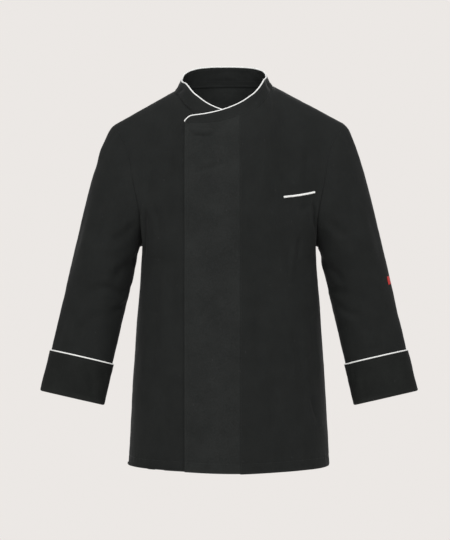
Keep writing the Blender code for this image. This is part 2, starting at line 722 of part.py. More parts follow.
def main():
    clear_scene()
    jacket = collection("chef_jacket")
    back_edge = make_back(jacket)
    right_edge, underlap = make_right_front(jacket)
    left_edge = make_left_front(jacket)
    band_edge = make_band(jacket)
    make_collar(jacket, [band_edge, left_edge[1:], back_edge[1:], right_edge[1:]])
    make_studs(jacket, underlap)
    for side in ("right", "left"):
        make_sleeve(jacket, side)
        make_cuff(jacket, side)


if __name__ == "__main__":
    main()
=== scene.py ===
"""The looks of a black chef jacket, worn and hollow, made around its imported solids.

Metres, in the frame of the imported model: +Z up, -Y the front, +X the wearer's left, and the origin
between the shoulders. Each cut piece is a fine grid laid on the garment's form. Creases, seams and
turned edges are worked into it as relief before it is placed, and its weave follows its own UV map,
which is the flat cloth in metres.
"""

from __future__ import annotations

import logging
import math
from dataclasses import dataclass, field
from enum import Enum
from typing import Callable, NamedTuple

import bmesh
import bpy
import numpy as np
from mathutils import Matrix, Vector, noise
from mathutils.bvhtree import BVHTree


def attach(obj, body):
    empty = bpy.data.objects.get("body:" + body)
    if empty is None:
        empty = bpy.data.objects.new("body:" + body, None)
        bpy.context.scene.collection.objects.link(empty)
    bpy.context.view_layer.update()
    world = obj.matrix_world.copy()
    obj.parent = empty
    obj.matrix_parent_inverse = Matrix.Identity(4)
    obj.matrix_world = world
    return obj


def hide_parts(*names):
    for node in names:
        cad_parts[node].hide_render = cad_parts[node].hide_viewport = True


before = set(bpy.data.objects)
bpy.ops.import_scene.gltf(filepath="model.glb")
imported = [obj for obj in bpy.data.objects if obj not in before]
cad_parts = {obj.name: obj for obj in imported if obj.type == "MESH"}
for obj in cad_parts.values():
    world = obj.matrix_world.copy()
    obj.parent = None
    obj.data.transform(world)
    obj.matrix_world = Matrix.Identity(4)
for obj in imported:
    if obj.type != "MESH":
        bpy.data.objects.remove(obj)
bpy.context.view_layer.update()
BODY = "root"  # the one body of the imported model
UV = "cloth"  # name of every piece's UV map, the flat cloth in metres
WEAR = "wear"  # name of the attribute that says where cloth is rubbed

Floats = np.ndarray
log = logging.getLogger("chef_jacket")

# ---------------------------------------------------------------- cloth sizes
CLOTH = 0.0009  # wall of one layer
DOUBLE_CLOTH = 0.0022  # wall of two layers pressed together
TURNED_GAP = 0.0001  # between the layers of a turned hem
HEM_TURN = 0.0200
HEM_STITCH = HEM_TURN - 0.0012  # from the hem's fold to its stitches
TURN_RADIUS = (2 * CLOTH + TURNED_GAP) / 2
SEAM_LAP = 0.0004  # by which sewn edges reach into each other, so that no light shows through
NECK_LAP = 0.0012  # the same at the neck, where the cloth turns a corner
BAND_RISE = 0.0042  # outer face of the front band above the underlap
BAND_EDGE = -0.0850  # the band's free edge, across
BAND_SEAM = 0.0210  # its seam with the left front
BAND_TOPSTITCH = 0.0068  # from its free edge to its stitches
STUD_ACROSS = -0.0720
STUD_HEIGHTS = (-0.130, -0.230, -0.330, -0.430, -0.530, -0.630)
PIPING_RADIUS = 0.0014


class Side(Enum):
    """The wearer's right or left."""

    RIGHT = "right"
    LEFT = "left"

    @property
    def sign(self) -> int:
        """-1 on the wearer's right, 1 on the left."""
        return -1 if self is Side.RIGHT else 1


class Face(Enum):
    """The front or the back of the body."""

    FRONT = "front"
    BACK = "back"


class Edge(Enum):
    """An edge of a grid: its first or last row or column."""

    FIRST_ROW = "first row"
    LAST_ROW = "last row"
    FIRST_COLUMN = "first column"
    LAST_COLUMN = "last column"


# ---------------------------------------------------------------- curves
def hermite(start: Floats, start_slope: Floats, end: Floats, end_slope: Floats, t: Floats) -> Floats:
    """A cubic with given ends and slopes.

    Args:
        start: where it starts.
        start_slope: its slope there.
        end: where it ends.
        end_slope: its slope there.
        t: from 0 to 1 along it.

    Returns:
        The cubic's value at t.
    """
    return (
        (2 * t**3 - 3 * t**2 + 1) * start
        + (t**3 - 2 * t**2 + t) * start_slope
        + (3 * t**2 - 2 * t**3) * end
        + (t**3 - t**2) * end_slope
    )


def smooth_table(rows: tuple, key: str, value: str, at: Floats) -> Floats:
    """A named column of a table, read on a smooth curve through its rows.

    Args:
        rows: named tuples, one for each section.
        key: the column to look up.
        value: the column to read.
        at: where to read it.

    Returns:
        The value at each place.
    """
    ordered = sorted(rows, key=lambda row: getattr(row, key))
    xs = np.array([getattr(row, key) for row in ordered])
    ys = np.array([getattr(row, value) for row in ordered])
    slopes = np.gradient(ys, xs)
    at = np.clip(at, xs[0], xs[-1])
    i = np.clip(np.searchsorted(xs, at) - 1, 0, len(xs) - 2)
    width = xs[i + 1] - xs[i]
    t = (at - xs[i]) / width
    return hermite(ys[i], slopes[i] * width, ys[i + 1], slopes[i + 1] * width, t)


def ease(t: Floats) -> Floats:
    """0 to 1 with level ends."""
    t = np.clip(t, 0, 1)
    return t * t * (3 - 2 * t)


def mix(start: Floats, end: Floats, t: Floats) -> Floats:
    """A value on the straight way from start to end."""
    return start + (end - start) * t


def bump_of(distance: Floats, reach: float) -> Floats:
    """1 at distance 0, fading softly to nothing past the reach."""
    return np.exp(-((distance / reach) ** 2))


def places(across: Floats, depth: Floats, height: Floats) -> Floats:
    """An array of places from three arrays."""
    return np.stack(np.broadcast_arrays(across, depth, height), axis=-1).astype(float)


def unit(vectors: Floats) -> Floats:
    """The vectors at length 1."""
    return vectors / np.maximum(np.linalg.norm(vectors, axis=-1, keepdims=True), 1e-12)


def lengths(path: Floats) -> Floats:
    """Distance from the start of a path to each of its points."""
    return np.concatenate([[0], np.cumsum(np.linalg.norm(np.diff(path, axis=0), axis=-1))])


def by_side(pair: tuple[float, float], share: Floats) -> Floats:
    """The right or the left one of a pair, for each share."""
    return np.where(share < 0, pair[0], pair[1])


def solve(function: Callable[[Floats], Floats], low: Floats, high: Floats, rounds: int = 30) -> Floats:
    """Where a rising function crosses 0, by halving.

    Args:
        function: takes an array of the shape of low and high.
        low: where it is below 0.
        high: where it is above 0.
        rounds: how often the stretch is halved.

    Returns:
        The crossing for each pair.
    """
    low, high = np.array(low, float), np.array(high, float)
    for _ in range(rounds):
        middle = (low + high) / 2
        below = function(middle) < 0
        low = np.where(below, middle, low)
        high = np.where(below, high, middle)
    return (low + high) / 2


def spread(count: int, *clusters: tuple[float, float, float]) -> Floats:
    """Shares from 0 to 1, closer together near some places.

    Args:
        count: how many.
        clusters: each a place, how far it reaches and how much closer the shares are there.

    Returns:
        The shares, rising.
    """
    fine = np.linspace(0, 1, 2001)
    density = np.ones_like(fine)
    for place, reach, closer in clusters:
        density += closer * bump_of(fine - place, reach)
    total = np.concatenate([[0], np.cumsum((density[1:] + density[:-1]) / 2)])
    return np.interp(np.linspace(0, total[-1], count), total, fine)


# ---------------------------------------------------------------- the garment's forms
class TorsoRow(NamedTuple):
    """A level section of the torso."""

    height: float
    half_width: float
    front_depth: float
    back_depth: float


class NeckRow(NamedTuple):
    """A place on a front's neck seam, by the distance past the neck's centre line."""

    past_centre: float
    height: float


class ArmholeRow(NamedTuple):
    """How far out the armhole lies, by the angle from the underarm to the shoulder tip."""

    angle: float
    front_across: float
    back_across: float


class SleeveRow(NamedTuple):
    """A section of the sleeve at a height on its axis."""

    height: float
    half_width: float
    half_depth: float
    centre_depth: float


class CollarRow(NamedTuple):
    """How far the collar leans in and stands up, by the angle round the neck."""

    angle: float
    lean: float
    stand: float


@dataclass(frozen=True)
class BodyForm:
    """The outer face of the jacket's body. A share runs across it, -1 at the right side seam and 1
    at the left one, and a rise up it: 0 at the hem, 1 at the underarm, 2 at the neck or shoulder."""

    hem_height: float = -0.7480
    underarm_height: float = -0.3000
    underarm_dip: float = 0.0420
    underarm_dip_power: float = 8
    torso: tuple = (
        TorsoRow(-0.7480, 0.2005, 0.1360, 0.1270),
        TorsoRow(-0.6500, 0.1950, 0.1350, 0.1220),
        TorsoRow(-0.5500, 0.1893, 0.1335, 0.1170),
        TorsoRow(-0.4500, 0.1820, 0.1310, 0.1150),
        TorsoRow(-0.3600, 0.1752, 0.1285, 0.1170),
        TorsoRow(-0.3000, 0.1725, 0.1270, 0.1190),
    )
    squareness_front: float = 2.35
    squareness_back: float = 2.50
    neck_centre: float = -0.0100
    neck_half_width: float = 0.0980
    neck_point_height: tuple[float, float] = (-0.0040, 0.0055)  # right, left
    tip_across: tuple[float, float] = (0.2312, 0.2300)
    tip_height: tuple[float, float] = (-0.0736, -0.0700)
    neck_share: float = 0.42
    front_ring_depth: float = 0.0800
    front_ring_height: float = -0.0450
    back_neck_depth: float = 0.0640
    back_neck_height: float = 0.0120
    neckline: tuple = (
        NeckRow(-0.0780, -0.0765),
        NeckRow(-0.0330, -0.0770),
        NeckRow(0.0060, -0.0710),
        NeckRow(0.0310, -0.0620),
        NeckRow(0.0550, -0.0520),
        NeckRow(0.0710, -0.0415),
        NeckRow(0.0860, -0.0210),
    )
    armhole_rows: tuple = (
        ArmholeRow(0.0, 0.1725, 0.1725),
        ArmholeRow(50.0, 0.1735, 0.1730),
        ArmholeRow(90.0, 0.1880, 0.1840),
        ArmholeRow(120.0, 0.1990, 0.1970),
        ArmholeRow(145.0, 0.2170, 0.2160),
        ArmholeRow(165.0, 0.2275, 0.2275),
        ArmholeRow(180.0, 0.2300, 0.2300),
    )
    armhole_front_depth: float = 0.0680
    armhole_back_depth: float = 0.0700
    armhole_low_bulge: float = 0.20

    def section(self, share: Floats, height: Floats, face: Face) -> Floats:
        """A point of the torso's level section."""
        half_width = smooth_table(self.torso, "height", "half_width", height)
        depth = smooth_table(self.torso, "height", face.value + "_depth", height)
        across = np.sin(share * math.pi / 2)
        power = self.squareness_front if face is Face.FRONT else self.squareness_back
        forward = depth * np.clip(1 - np.abs(across) ** power, 0, 1) ** (1 / power)
        return places(half_width * across, -forward if face is Face.FRONT else forward, height)

    def armhole(self, angle: Floats, side: Side, face: Face) -> Floats:
        """A point of the armhole seam, by its angle from the underarm in degrees."""
        turn = np.radians(angle)
        up = (1 - np.cos(turn)) / 2
        right = side is Side.RIGHT
        tip_across, tip_height = self.tip_across[not right], self.tip_height[not right]
        across = smooth_table(self.armhole_rows, "angle", face.value + "_across", angle)
        across = across + (tip_across - self.armhole_rows[-1].front_across) * up
        height = mix(self.underarm_height, tip_height, up)
        depth = self.armhole_front_depth if face is Face.FRONT else self.armhole_back_depth
        depth = depth * np.sin(turn) * (1 + self.armhole_low_bulge * np.cos(turn))
        return places(side.sign * across, -depth if face is Face.FRONT else depth, height)

    def top_edge(self, share: Floats, face: Face) -> Floats:
        """Where a line of the form ends: on the neck ring near the middle, then on the shoulder."""
        sign = np.where(share < 0, -1, 1)
        neck_height = by_side(self.neck_point_height, share)
        turn = np.clip(np.abs(share) / self.neck_share, 0, 1) * math.pi / 2
        if face is Face.FRONT:
            depth = -self.front_ring_depth * np.cos(turn) ** 0.8
            height = mix(self.front_ring_height, neck_height, (1 - np.cos(turn)) ** 0.7)
        else:
            depth = self.back_neck_depth * np.cos(turn) ** 0.8
            height = mix(self.back_neck_height, neck_height, 1 - np.cos(turn))
        ring = places(self.neck_centre + sign * self.neck_half_width * np.sin(turn), depth, height)
        neck_point = places(self.neck_centre + sign * self.neck_half_width, 0, neck_height)
        tip = places(sign * by_side(self.tip_across, share), 0, by_side(self.tip_height, share))
        along = np.clip((np.abs(share) - self.neck_share) / (1 - self.neck_share), 0, 1)[..., None]
        return np.where((np.abs(share) <= self.neck_share)[..., None], ring, mix(neck_point, tip, along))

    def top_slope(self, share: Floats, face: Face) -> Floats:
        """Direction and speed with which a line of the form arrives at its top edge."""
        backwards, upwards = (0.125, 0.215) if face is Face.FRONT else (-0.080, 0.240)
        over = 0.230 if face is Face.FRONT else -0.230
        to_shoulder = ease(np.abs(share) / self.neck_share)
        return places(0, mix(backwards, over, to_shoulder), mix(upwards, 0, to_shoulder))

    def underarm_line(self, share: Floats) -> Floats:
        """Height of the form's line that passes under both arms."""
        return self.underarm_height - self.underarm_dip * (1 - np.abs(share) ** self.underarm_dip_power)

    def place(self, share: Floats, rise: Floats, face: Face) -> Floats:
        """The form's point at a share and rise of one face.

        Args:
            share: across the body.
            rise: up it.
            face: front or back.

        Returns:
            The places, in an array with one more axis.
        """
        share, rise = np.broadcast_arrays(np.asarray(share, float), np.asarray(rise, float))
        height = mix(self.hem_height, self.underarm_line(share), np.clip(rise, 0, 1))
        lower = self.section(share, height, face)
        t = np.clip(rise - 1, 0, 1)[..., None]
        start_slope = np.array((0.0, 0.0, 0.260))
        lines = []
        for line in (share, np.where(share < 0, -1.0, 1.0)):
            start, end = self.section(line, self.underarm_line(line), face), self.top_edge(line, face)
            lines.append(hermite(start, start_slope, end, self.top_slope(line, face), t))
        angle = 180 * t[..., 0]
        right, left = (self.armhole(angle, side, face) for side in Side)
        seam = np.where((share < 0)[..., None], right, left)
        upper = lines[0] + (np.abs(share) ** 4)[..., None] * (seam - lines[1])
        return np.where((rise > 1)[..., None], upper, lower)

    def front(self, share: Floats, rise: Floats) -> Floats:
        """The front's form, whose share runs to the right for one who faces it."""
        return self.place(share, rise, Face.FRONT)

    def back(self, share: Floats, rise: Floats) -> Floats:
        """The back's form, whose share also runs to the right for one who faces it."""
        return self.place(-np.asarray(share, float), rise, Face.BACK)

    def raised(self, share: Floats, rise: Floats, distance: Floats) -> Floats:
        """Places of the front's form moved square out of it.

        Args:
            share: across it.
            rise: up it.
            distance: how far out.

        Returns:
            The moved places.
        """
        share, rise = np.broadcast_arrays(np.asarray(share, float), np.asarray(rise, float))
        step = 1e-4
        side = np.where(share > 0, -step, step)
        up = np.where(rise > 1, -step, step)
        here = self.front(share, rise)
        across = (self.front(share + side, rise) - here) / side[..., None]
        upwards = (self.front(share, rise + up) - here) / up[..., None]
        return here + unit(np.cross(across, upwards)) * np.broadcast_to(distance, share.shape)[..., None]

    def share_at(self, across: Floats, rise: Floats) -> Floats:
        """The front's share at a distance across, for each rise."""
        across, rise = np.broadcast_arrays(across, rise)
        low, high = np.full(rise.shape, -1.0), np.full(rise.shape, 1.0)
        return solve(lambda share: self.front(share, rise)[..., 0] - across, low, high)

    def neckline_height(self, across: Floats, side: Side) -> Floats:
        """Height of a front's neck seam at a distance across."""
        past_centre = (across - self.neck_centre) * side.sign
        point = self.neck_point_height[side is Side.LEFT]
        rows = self.neckline + (NeckRow(self.neck_half_width, point),)
        return smooth_table(rows, "past_centre", "height", past_centre)

    def front_lines(self, side: Side, straight: Floats, neck: Floats, shoulder: Floats,
                    low: Floats, high: Floats) -> tuple[Floats, Floats]:
        """Shares and rises of a front's grid.

        Args:
            side: which front.
            straight: distances across at which the first lines stand straight up.
            neck: shares of the way from the last of them to the neck point.
            shoulder: shares of the form past the neck point.
            low: rises from the hem to the underarm.
            high: shares of the way from the underarm to the top.

        Returns:
            Two arrays with a row for each rise.
        """
        count = len(straight) + len(neck)

        def shares(rise: Floats) -> Floats:
            rise = np.broadcast_to(rise, np.broadcast_shapes(np.shape(rise), (count,)))
            upright = self.share_at(straight, rise[..., : len(straight)])
            last = self.share_at(straight[-1], rise[..., len(straight) :])
            return np.concatenate([upright, mix(last, side.sign * self.neck_share, neck)], axis=-1)

        def above_seam(rise: Floats) -> Floats:
            place = self.front(shares(rise), rise)
            return place[..., 2] - self.neckline_height(place[..., 0], side)

        tops = solve(above_seam, np.full(count, 1.3), np.full(count, 2.0))
        tops = np.concatenate([tops, np.full(len(shoulder), 2.0)])
        rises = np.concatenate([low[:, None] * np.ones(len(tops)), mix(1, tops, high[1:, None])])
        past = np.broadcast_to(side.sign * np.asarray(shoulder), (len(rises), len(shoulder)))
        return np.concatenate([shares(rises[:, :count]), past], axis=1), rises


@dataclass(frozen=True)
class SleeveForm:
    """The outer face of a sleeve, by the height on its axis and the turn round it in degrees: 0
    under the arm, 90 in front, 180 outside and 270 behind."""

    side: Side
    body: BodyForm
    lean: float = math.radians(12.9)
    axis_across: float = 0.2560
    axis_height: float = -0.3740
    forearm_lean: float = math.radians(7.0)
    rows: tuple = (
        SleeveRow(-0.3250, 0.0625, 0.0700, 0.0040),
        SleeveRow(-0.4200, 0.0628, 0.0540, 0.0010),
        SleeveRow(-0.5200, 0.0622, 0.0400, -0.0100),
        SleeveRow(-0.6150, 0.0628, 0.0300, -0.0225),
    )
    end_above_fold: float = 0.0038

    def ring(self, height: Floats, turn: Floats, out: Floats = 0.0) -> Floats:
        """A point of the sleeve's section, moved out by a distance."""
        height = np.asarray(height, float)
        half_width = smooth_table(self.rows, "height", "half_width", height) + out
        half_depth = smooth_table(self.rows, "height", "half_depth", height) + out
        centre = smooth_table(self.rows, "height", "centre_depth", height)
        axis = self.axis_across + (self.axis_height - height) * math.tan(self.lean)
        top, end = self.rows[0].height, self.rows[-1].height
        tip = self.forearm_lean * ease((top - height) / (top - end))
        along_width = -np.cos(np.radians(turn)) * half_width
        along_depth = np.sin(np.radians(turn)) * half_depth
        across = axis + along_width * math.cos(self.lean)
        rise = along_width * math.sin(self.lean) + along_depth * np.sin(tip)
        return places(self.side.sign * across, centre - along_depth * np.cos(tip), height + rise)

    def cap(self, share: Floats, turn: Floats) -> Floats:
        """The sleeve between the armhole (share 0) and its first ring (share 1)."""
        sign = self.side.sign
        turn = np.mod(turn, 360.0)
        angle = np.where(turn > 180, 360 - turn, turn)
        front, back = (self.body.armhole(angle, self.side, face) for face in Face)
        seam = np.where((turn > 180)[..., None], back, front)
        ring = self.ring(self.rows[0].height, turn)
        cosine, sine = np.cos(np.radians(turn)), np.sin(np.radians(turn))
        slope = places(
            sign * (0.0475 - 0.0275 * cosine + 0.0425 * sine**2),
            -0.012 * sine,
            -0.055 + 0.015 * cosine + 0.005 * sine**2,
        )
        axis = np.array((sign * math.sin(self.lean), 0, -math.cos(self.lean)))
        end_slope = axis * np.linalg.norm(ring - seam, axis=-1, keepdims=True)
        start = seam - unit(slope) * SEAM_LAP / 2
        return hermite(start, slope, ring, end_slope, np.asarray(share)[..., None])

    def height_up(self, up: Floats) -> Floats:
        """Height on the axis of a ring that lies up from the cuff's fold."""
        return self.rows[-1].height + np.asarray(up) * math.cos(self.lean)


@dataclass(frozen=True)
class CollarForm:
    """The stand collar's outer face above the neck seam. The angle round the neck is 0 in front,
    90 at the left shoulder and 180 behind."""

    body: BodyForm
    rows: tuple = (
        CollarRow(-40.0, 0.0050, 0.0110),
        CollarRow(-20.0, 0.0085, 0.0176),
        CollarRow(0.0, 0.0105, 0.0215),
        CollarRow(20.0, 0.0120, 0.0220),
        CollarRow(40.0, 0.0130, 0.0272),
        CollarRow(60.0, 0.0122, 0.0245),
        CollarRow(80.0, 0.0122, 0.0202),
        CollarRow(92.0, 0.0124, 0.0205),
        CollarRow(108.0, 0.0110, 0.0295),
        CollarRow(128.0, 0.0085, 0.0358),
        CollarRow(150.0, 0.0070, 0.0376),
        CollarRow(180.0, 0.0060, 0.0380),
    )
    right_stand: float = 0.0008
    end_radius: float = 0.0110
    end_reach: float = 0.1280

    def up(self, angle: Floats) -> Floats:
        """From the neck seam to the free edge, at an angle that goes on past 180 on the right."""
        on_right = angle > 180
        folded = np.where(on_right, 360 - angle, angle)
        lean = smooth_table(self.rows, "angle", "lean", folded)
        stand = smooth_table(self.rows, "angle", "stand", folded)
        stand = stand + self.right_stand * np.where(on_right, np.sin(np.radians(folded)) ** 2, 0)
        radians = np.radians(angle)
        return places(-lean * np.sin(radians), lean * np.cos(radians), stand)

    def grid(self, edges: list[Floats], columns: int, ends: int, shares: Floats) -> tuple[Floats, Floats]:
        """Places of the outer face over the edges of the pieces that it is sewn to.

        Args:
            edges: their edges, from the band's free edge round the back to the hidden edge.
            columns: how many columns past the rounded end.
            ends: how many more on the rounded end.
            shares: of the way from the neck seam to the free edge.

        Returns:
            The grid, and the angle of each column.
        """
        seam = np.concatenate(edges)
        angles = np.degrees(np.arctan2(seam[:, 0] - self.body.neck_centre, -seam[:, 1]))
        angles = np.unwrap(angles, period=360)
        around = self.end_radius * (1 - np.cos(np.radians(np.linspace(6, 90, ends))))
        near_end = angles[0] + np.degrees(around / self.end_reach)
        stations = np.concatenate([near_end[:-1], np.linspace(near_end[-1], angles[-1], columns)])
        low = np.stack([np.interp(stations, angles, seam[:, k]) for k in range(3)], axis=-1)
        up = self.up(stations)
        start = -NECK_LAP / np.linalg.norm(up, axis=-1, keepdims=True)
        from_end = np.radians(stations - angles[0]) * self.end_reach
        rounding = np.sqrt(1 - np.clip(1 - from_end / self.end_radius, 0, 1) ** 2)[:, None]
        return np.array([low + up * mix(start, rounding, share) for share in shares]), stations


# ---------------------------------------------------------------- relief
@dataclass(frozen=True)
class Crease:
    """A soft trough or ridge, laid through places on its panel's map: across and height
    on the body, turn and height on a sleeve or cuff."""

    route: tuple[tuple[float, float], ...]
    width: float  # half the trough's width
    depth: float  # below 0 a trough, above 0 a ridge
    shoulder: float = 0.35  # how much of it comes back as a ridge on one side
    fade_in: float = 0.35
    fade_out: float = 0.35


@dataclass
class Cloth:
    """A cut piece in the making: a grid of places, its relief and its map for placing creases."""

    name: str
    grid: Floats
    wall: float
    across_map: Floats | None = None  # where each point is on the map, or its place across
    height_map: Floats | None = None  # the same for its height
    map_scale: float = 1.0  # metres across for one unit of the across map
    tube: bool = False
    centred: bool = False
    turn: float = 0.0  # how far the cloth is turned in at its first row
    turn_radius: float = 0.0  # of the turned edge, to the face that the grid lies on
    relief: Floats = field(init=False)
    across: Floats = field(init=False)
    up: Floats = field(init=False)
    normals: Floats = field(init=False)

    def __post_init__(self) -> None:
        """Measures the flat cloth and starts with no relief."""
        if self.across_map is None:
            self.across_map, self.height_map = self.grid[..., 0], self.grid[..., 2]
        self.relief = np.zeros(self.grid.shape[:2])
        steps = np.linalg.norm(np.diff(self.grid, axis=1), axis=-1)
        across = np.concatenate([np.zeros((len(steps), 1)), np.cumsum(steps, axis=1)], axis=1)
        self.across = across - across[:, across.shape[1] // 2][:, None]
        steps = np.linalg.norm(np.diff(self.grid, axis=0), axis=-1)
        self.up = np.concatenate([np.zeros((1, steps.shape[1])), np.cumsum(steps, axis=0)])
        along_row = np.gradient(self.grid, axis=1)
        if self.tube:
            ends = (self.grid[:, 1] - self.grid[:, -2]) / 2
            along_row[:, 0] = along_row[:, -1] = ends
        self.normals = unit(np.cross(along_row, np.gradient(self.grid, axis=0)))

    def from_edge(self, edge: Edge) -> Floats:
        """Distance of every point from an edge, over the cloth."""
        if edge is Edge.FIRST_ROW:
            return self.up
        if edge is Edge.LAST_ROW:
            return self.up[-1] - self.up
        if edge is Edge.FIRST_COLUMN:
            return self.across - self.across[:, :1]
        return self.across[:, -1:] - self.across

    def route_of(self, crease: Crease) -> Floats:
        """The crease's route on the flat cloth, as a smooth line of points."""
        route = []
        lap = self.across[:, -1] - self.across[:, 0]
        if self.tube and self.across_map[0, -1] < self.across_map[0, 0]:
            lap = -lap
        for across, height in crease.route:
            laps = math.floor(across / 360) if self.tube else 0
            gap = (self.across_map - across + 360 * laps) * self.map_scale
            spot = np.unravel_index(np.argmin(gap**2 + (self.height_map - height) ** 2), gap.shape)
            route.append((self.across[spot] + laps * lap[spot[0]], self.up[spot]))
        points = np.array(route)
        if len(points) == 2:
            return mix(points[0], points[1], np.linspace(0, 1, 9)[:, None])
        knots = np.arange(len(points))
        fine = np.linspace(0, len(points) - 1, 8 * len(points))
        slopes = np.gradient(points, axis=0)
        i = np.clip(fine.astype(int), 0, len(points) - 2)
        t = (fine - knots[i])[:, None]
        return hermite(points[i], slopes[i], points[i + 1], slopes[i + 1], t)

    def crease(self, *creases: Crease) -> None:
        """Works creases into the relief."""
        for crease in creases:
            line = self.route_of(crease)
            best = np.full(self.relief.shape, np.inf)
            signed, along = np.zeros_like(best), np.zeros_like(best)
            for number, (a, b) in enumerate(zip(line, line[1:])):
                step = b - a
                length = max(float(np.hypot(*step)), 1e-9)
                x, y = self.across - a[0], self.up - a[1]
                if self.tube:
                    lap = self.across[:, -1:] - self.across[:, :1]
                    x = (x + lap / 2) % lap - lap / 2
                t = np.clip((x * step[0] + y * step[1]) / length**2, 0, 1)
                gap = np.hypot(x - t * step[0], y - t * step[1])
                nearer = gap < best
                best = np.where(nearer, gap, best)
                signed = np.where(nearer, np.sign(x * step[1] - y * step[0]) * gap, signed)
                along = np.where(nearer, (number + t) / (len(line) - 1), along)
            taper = ease(along / crease.fade_in) * ease((1 - along) / crease.fade_out)
            side = (signed - 1.7 * crease.width) / crease.width
            shape = bump_of(best, crease.width) - crease.shoulder * np.exp(-(side**2))
            self.relief += crease.depth * taper * shape

    def press(self, edge: Edge, distance: float, depth: float, reach: float) -> None:
        """Presses a groove (depth below 0) or a ridge along an edge, at a distance from it."""
        self.relief += depth * bump_of(self.from_edge(edge) - distance, reach)

    def pucker(self, edge: Edge, distance: float, depth: float, pitch: float) -> None:
        """Gathers the cloth a little along a line of stitches.

        Args:
            edge: the edge that the stitches follow.
            distance: how far they are from it.
            depth: of the small waves.
            pitch: from one wave to the next, about.
        """
        along = self.across if edge in (Edge.FIRST_ROW, Edge.LAST_ROW) else self.up
        phase = 2 * math.pi * along / pitch
        waves = np.sin(phase + 1.3 * np.sin(phase * 0.37)) + 0.6 * np.sin(phase * 0.61 + 2.0)
        self.relief += depth * waves * bump_of(self.from_edge(edge) - distance, 0.9 * pitch)

    def rumple(self, depth: float, size: float, stretch: float, seed: float) -> None:
        """Adds the slight unevenness that worn cloth has all over.

        Args:
            depth: how deep.
            size: how wide its waves are.
            stretch: how many times longer they are up the cloth than across it.
            seed: where in the noise it is taken from.
        """
        flat = np.stack([self.across / size, self.up / (size * stretch)], axis=-1)
        for row in range(flat.shape[0]):
            for column in range(flat.shape[1]):
                x, y = flat[row, column]
                spot = Vector((x, y, seed))
                value = noise.noise(spot) + 0.45 * noise.noise(spot * 2.3)
                self.relief[row, column] += depth * value
        if self.tube:
            blend = bump_of(self.from_edge(Edge.LAST_COLUMN), 0.02)
            self.relief += blend * (self.relief[:, :1] - self.relief[:, -1:])

    def calm(self, *edges: Edge, reach: float = 0.010) -> None:
        """Fades the relief out towards sewn edges, so that neighbours still meet."""
        for edge in edges:
            self.relief *= ease(self.from_edge(edge) / reach)

    def placed(self) -> Floats:
        """The grid with its relief."""
        return self.grid + self.normals * self.relief[..., None]

    def finished(self, wear: Floats) -> tuple[Floats, tuple[Floats, Floats], Floats]:
        """The whole piece, with its turned edge.

        Args:
            wear: how rubbed the cloth is at each point of the grid.

        Returns:
            Its places, where each lies on the flat cloth, and its wear.
        """
        outer, flat = self.placed(), (self.across, self.up)
        if not self.turn:
            return outer, flat, wear
        count = int(np.searchsorted(self.up.mean(axis=1), self.turn))
        radius, normals = self.turn_radius, self.normals
        inner = (outer[:count] - 2 * radius * normals[:count])[::-1]
        upwards = unit(outer[1] - outer[0])
        angles = np.radians(np.linspace(0, 180, 9)[1:-1])[:, None, None]
        fold = outer[0] - radius * (normals[0] * (1 + np.cos(angles)) + upwards * np.sin(angles))
        round_fold = radius * (angles[:, :, 0] - math.pi)
        turned = -self.up[:count][::-1] - radius * math.pi
        ups = np.concatenate([turned, round_fold + 0 * self.up[:1], self.up])
        acrosses, wears = (
            np.concatenate([values[:count][::-1], values[:1] + 0 * round_fold, values])
            for values in (self.across, wear)
        )
        return np.concatenate([inner, fold, outer]), (acrosses, ups), wears

    def line(self, edge: Edge, distance: float, inside: bool = False) -> tuple[Floats, Floats]:
        """A line on the finished cloth along an edge.

        Args:
            edge: the edge that it follows.
            distance: how far it is from it.
            inside: whether it lies on the inner face.

        Returns:
            Its places, and the outward normal at each.
        """
        gap = self.from_edge(edge)
        grid, normals = self.placed(), self.normals
        if edge in (Edge.FIRST_COLUMN, Edge.LAST_COLUMN):
            gap, grid, normals = gap.T, grid.transpose(1, 0, 2), normals.transpose(1, 0, 2)
        if edge in (Edge.LAST_ROW, Edge.LAST_COLUMN):
            gap, grid, normals = gap[::-1], grid[::-1], normals[::-1]
        found, out = [], []
        for column in range(gap.shape[1]):
            found.append([np.interp(distance, gap[:, column], grid[:, column, k]) for k in range(3)])
            out.append([np.interp(distance, gap[:, column], normals[:, column, k]) for k in range(3)])
        found, out = np.array(found), unit(np.array(out))
        if self.centred:
            found = found + out * self.wall / 2
        return (found - out * self.wall, -out) if inside else (found, out)


# ---------------------------------------------------------------- meshes
def mesh_of(bm: bmesh.types.BMesh, name: str) -> bpy.types.Mesh:
    """Makes a mesh of a bmesh, which it frees."""
    mesh = bpy.data.meshes.new(name)
    bm.to_mesh(mesh)
    bm.free()
    return mesh


def linked(name: str, data: bpy.types.ID) -> bpy.types.Object:
    """A new object in the scene."""
    made = bpy.data.objects.new(name, data)
    bpy.context.scene.collection.objects.link(made)
    return made


def cleaned(bm: bmesh.types.BMesh) -> None:
    """Closes a shape's poles and seams, turns its faces outwards and shades them smooth."""
    bmesh.ops.remove_doubles(bm, verts=bm.verts, dist=0.00001)
    bmesh.ops.recalc_face_normals(bm, faces=bm.faces)
    for face in bm.faces:
        face.smooth = True


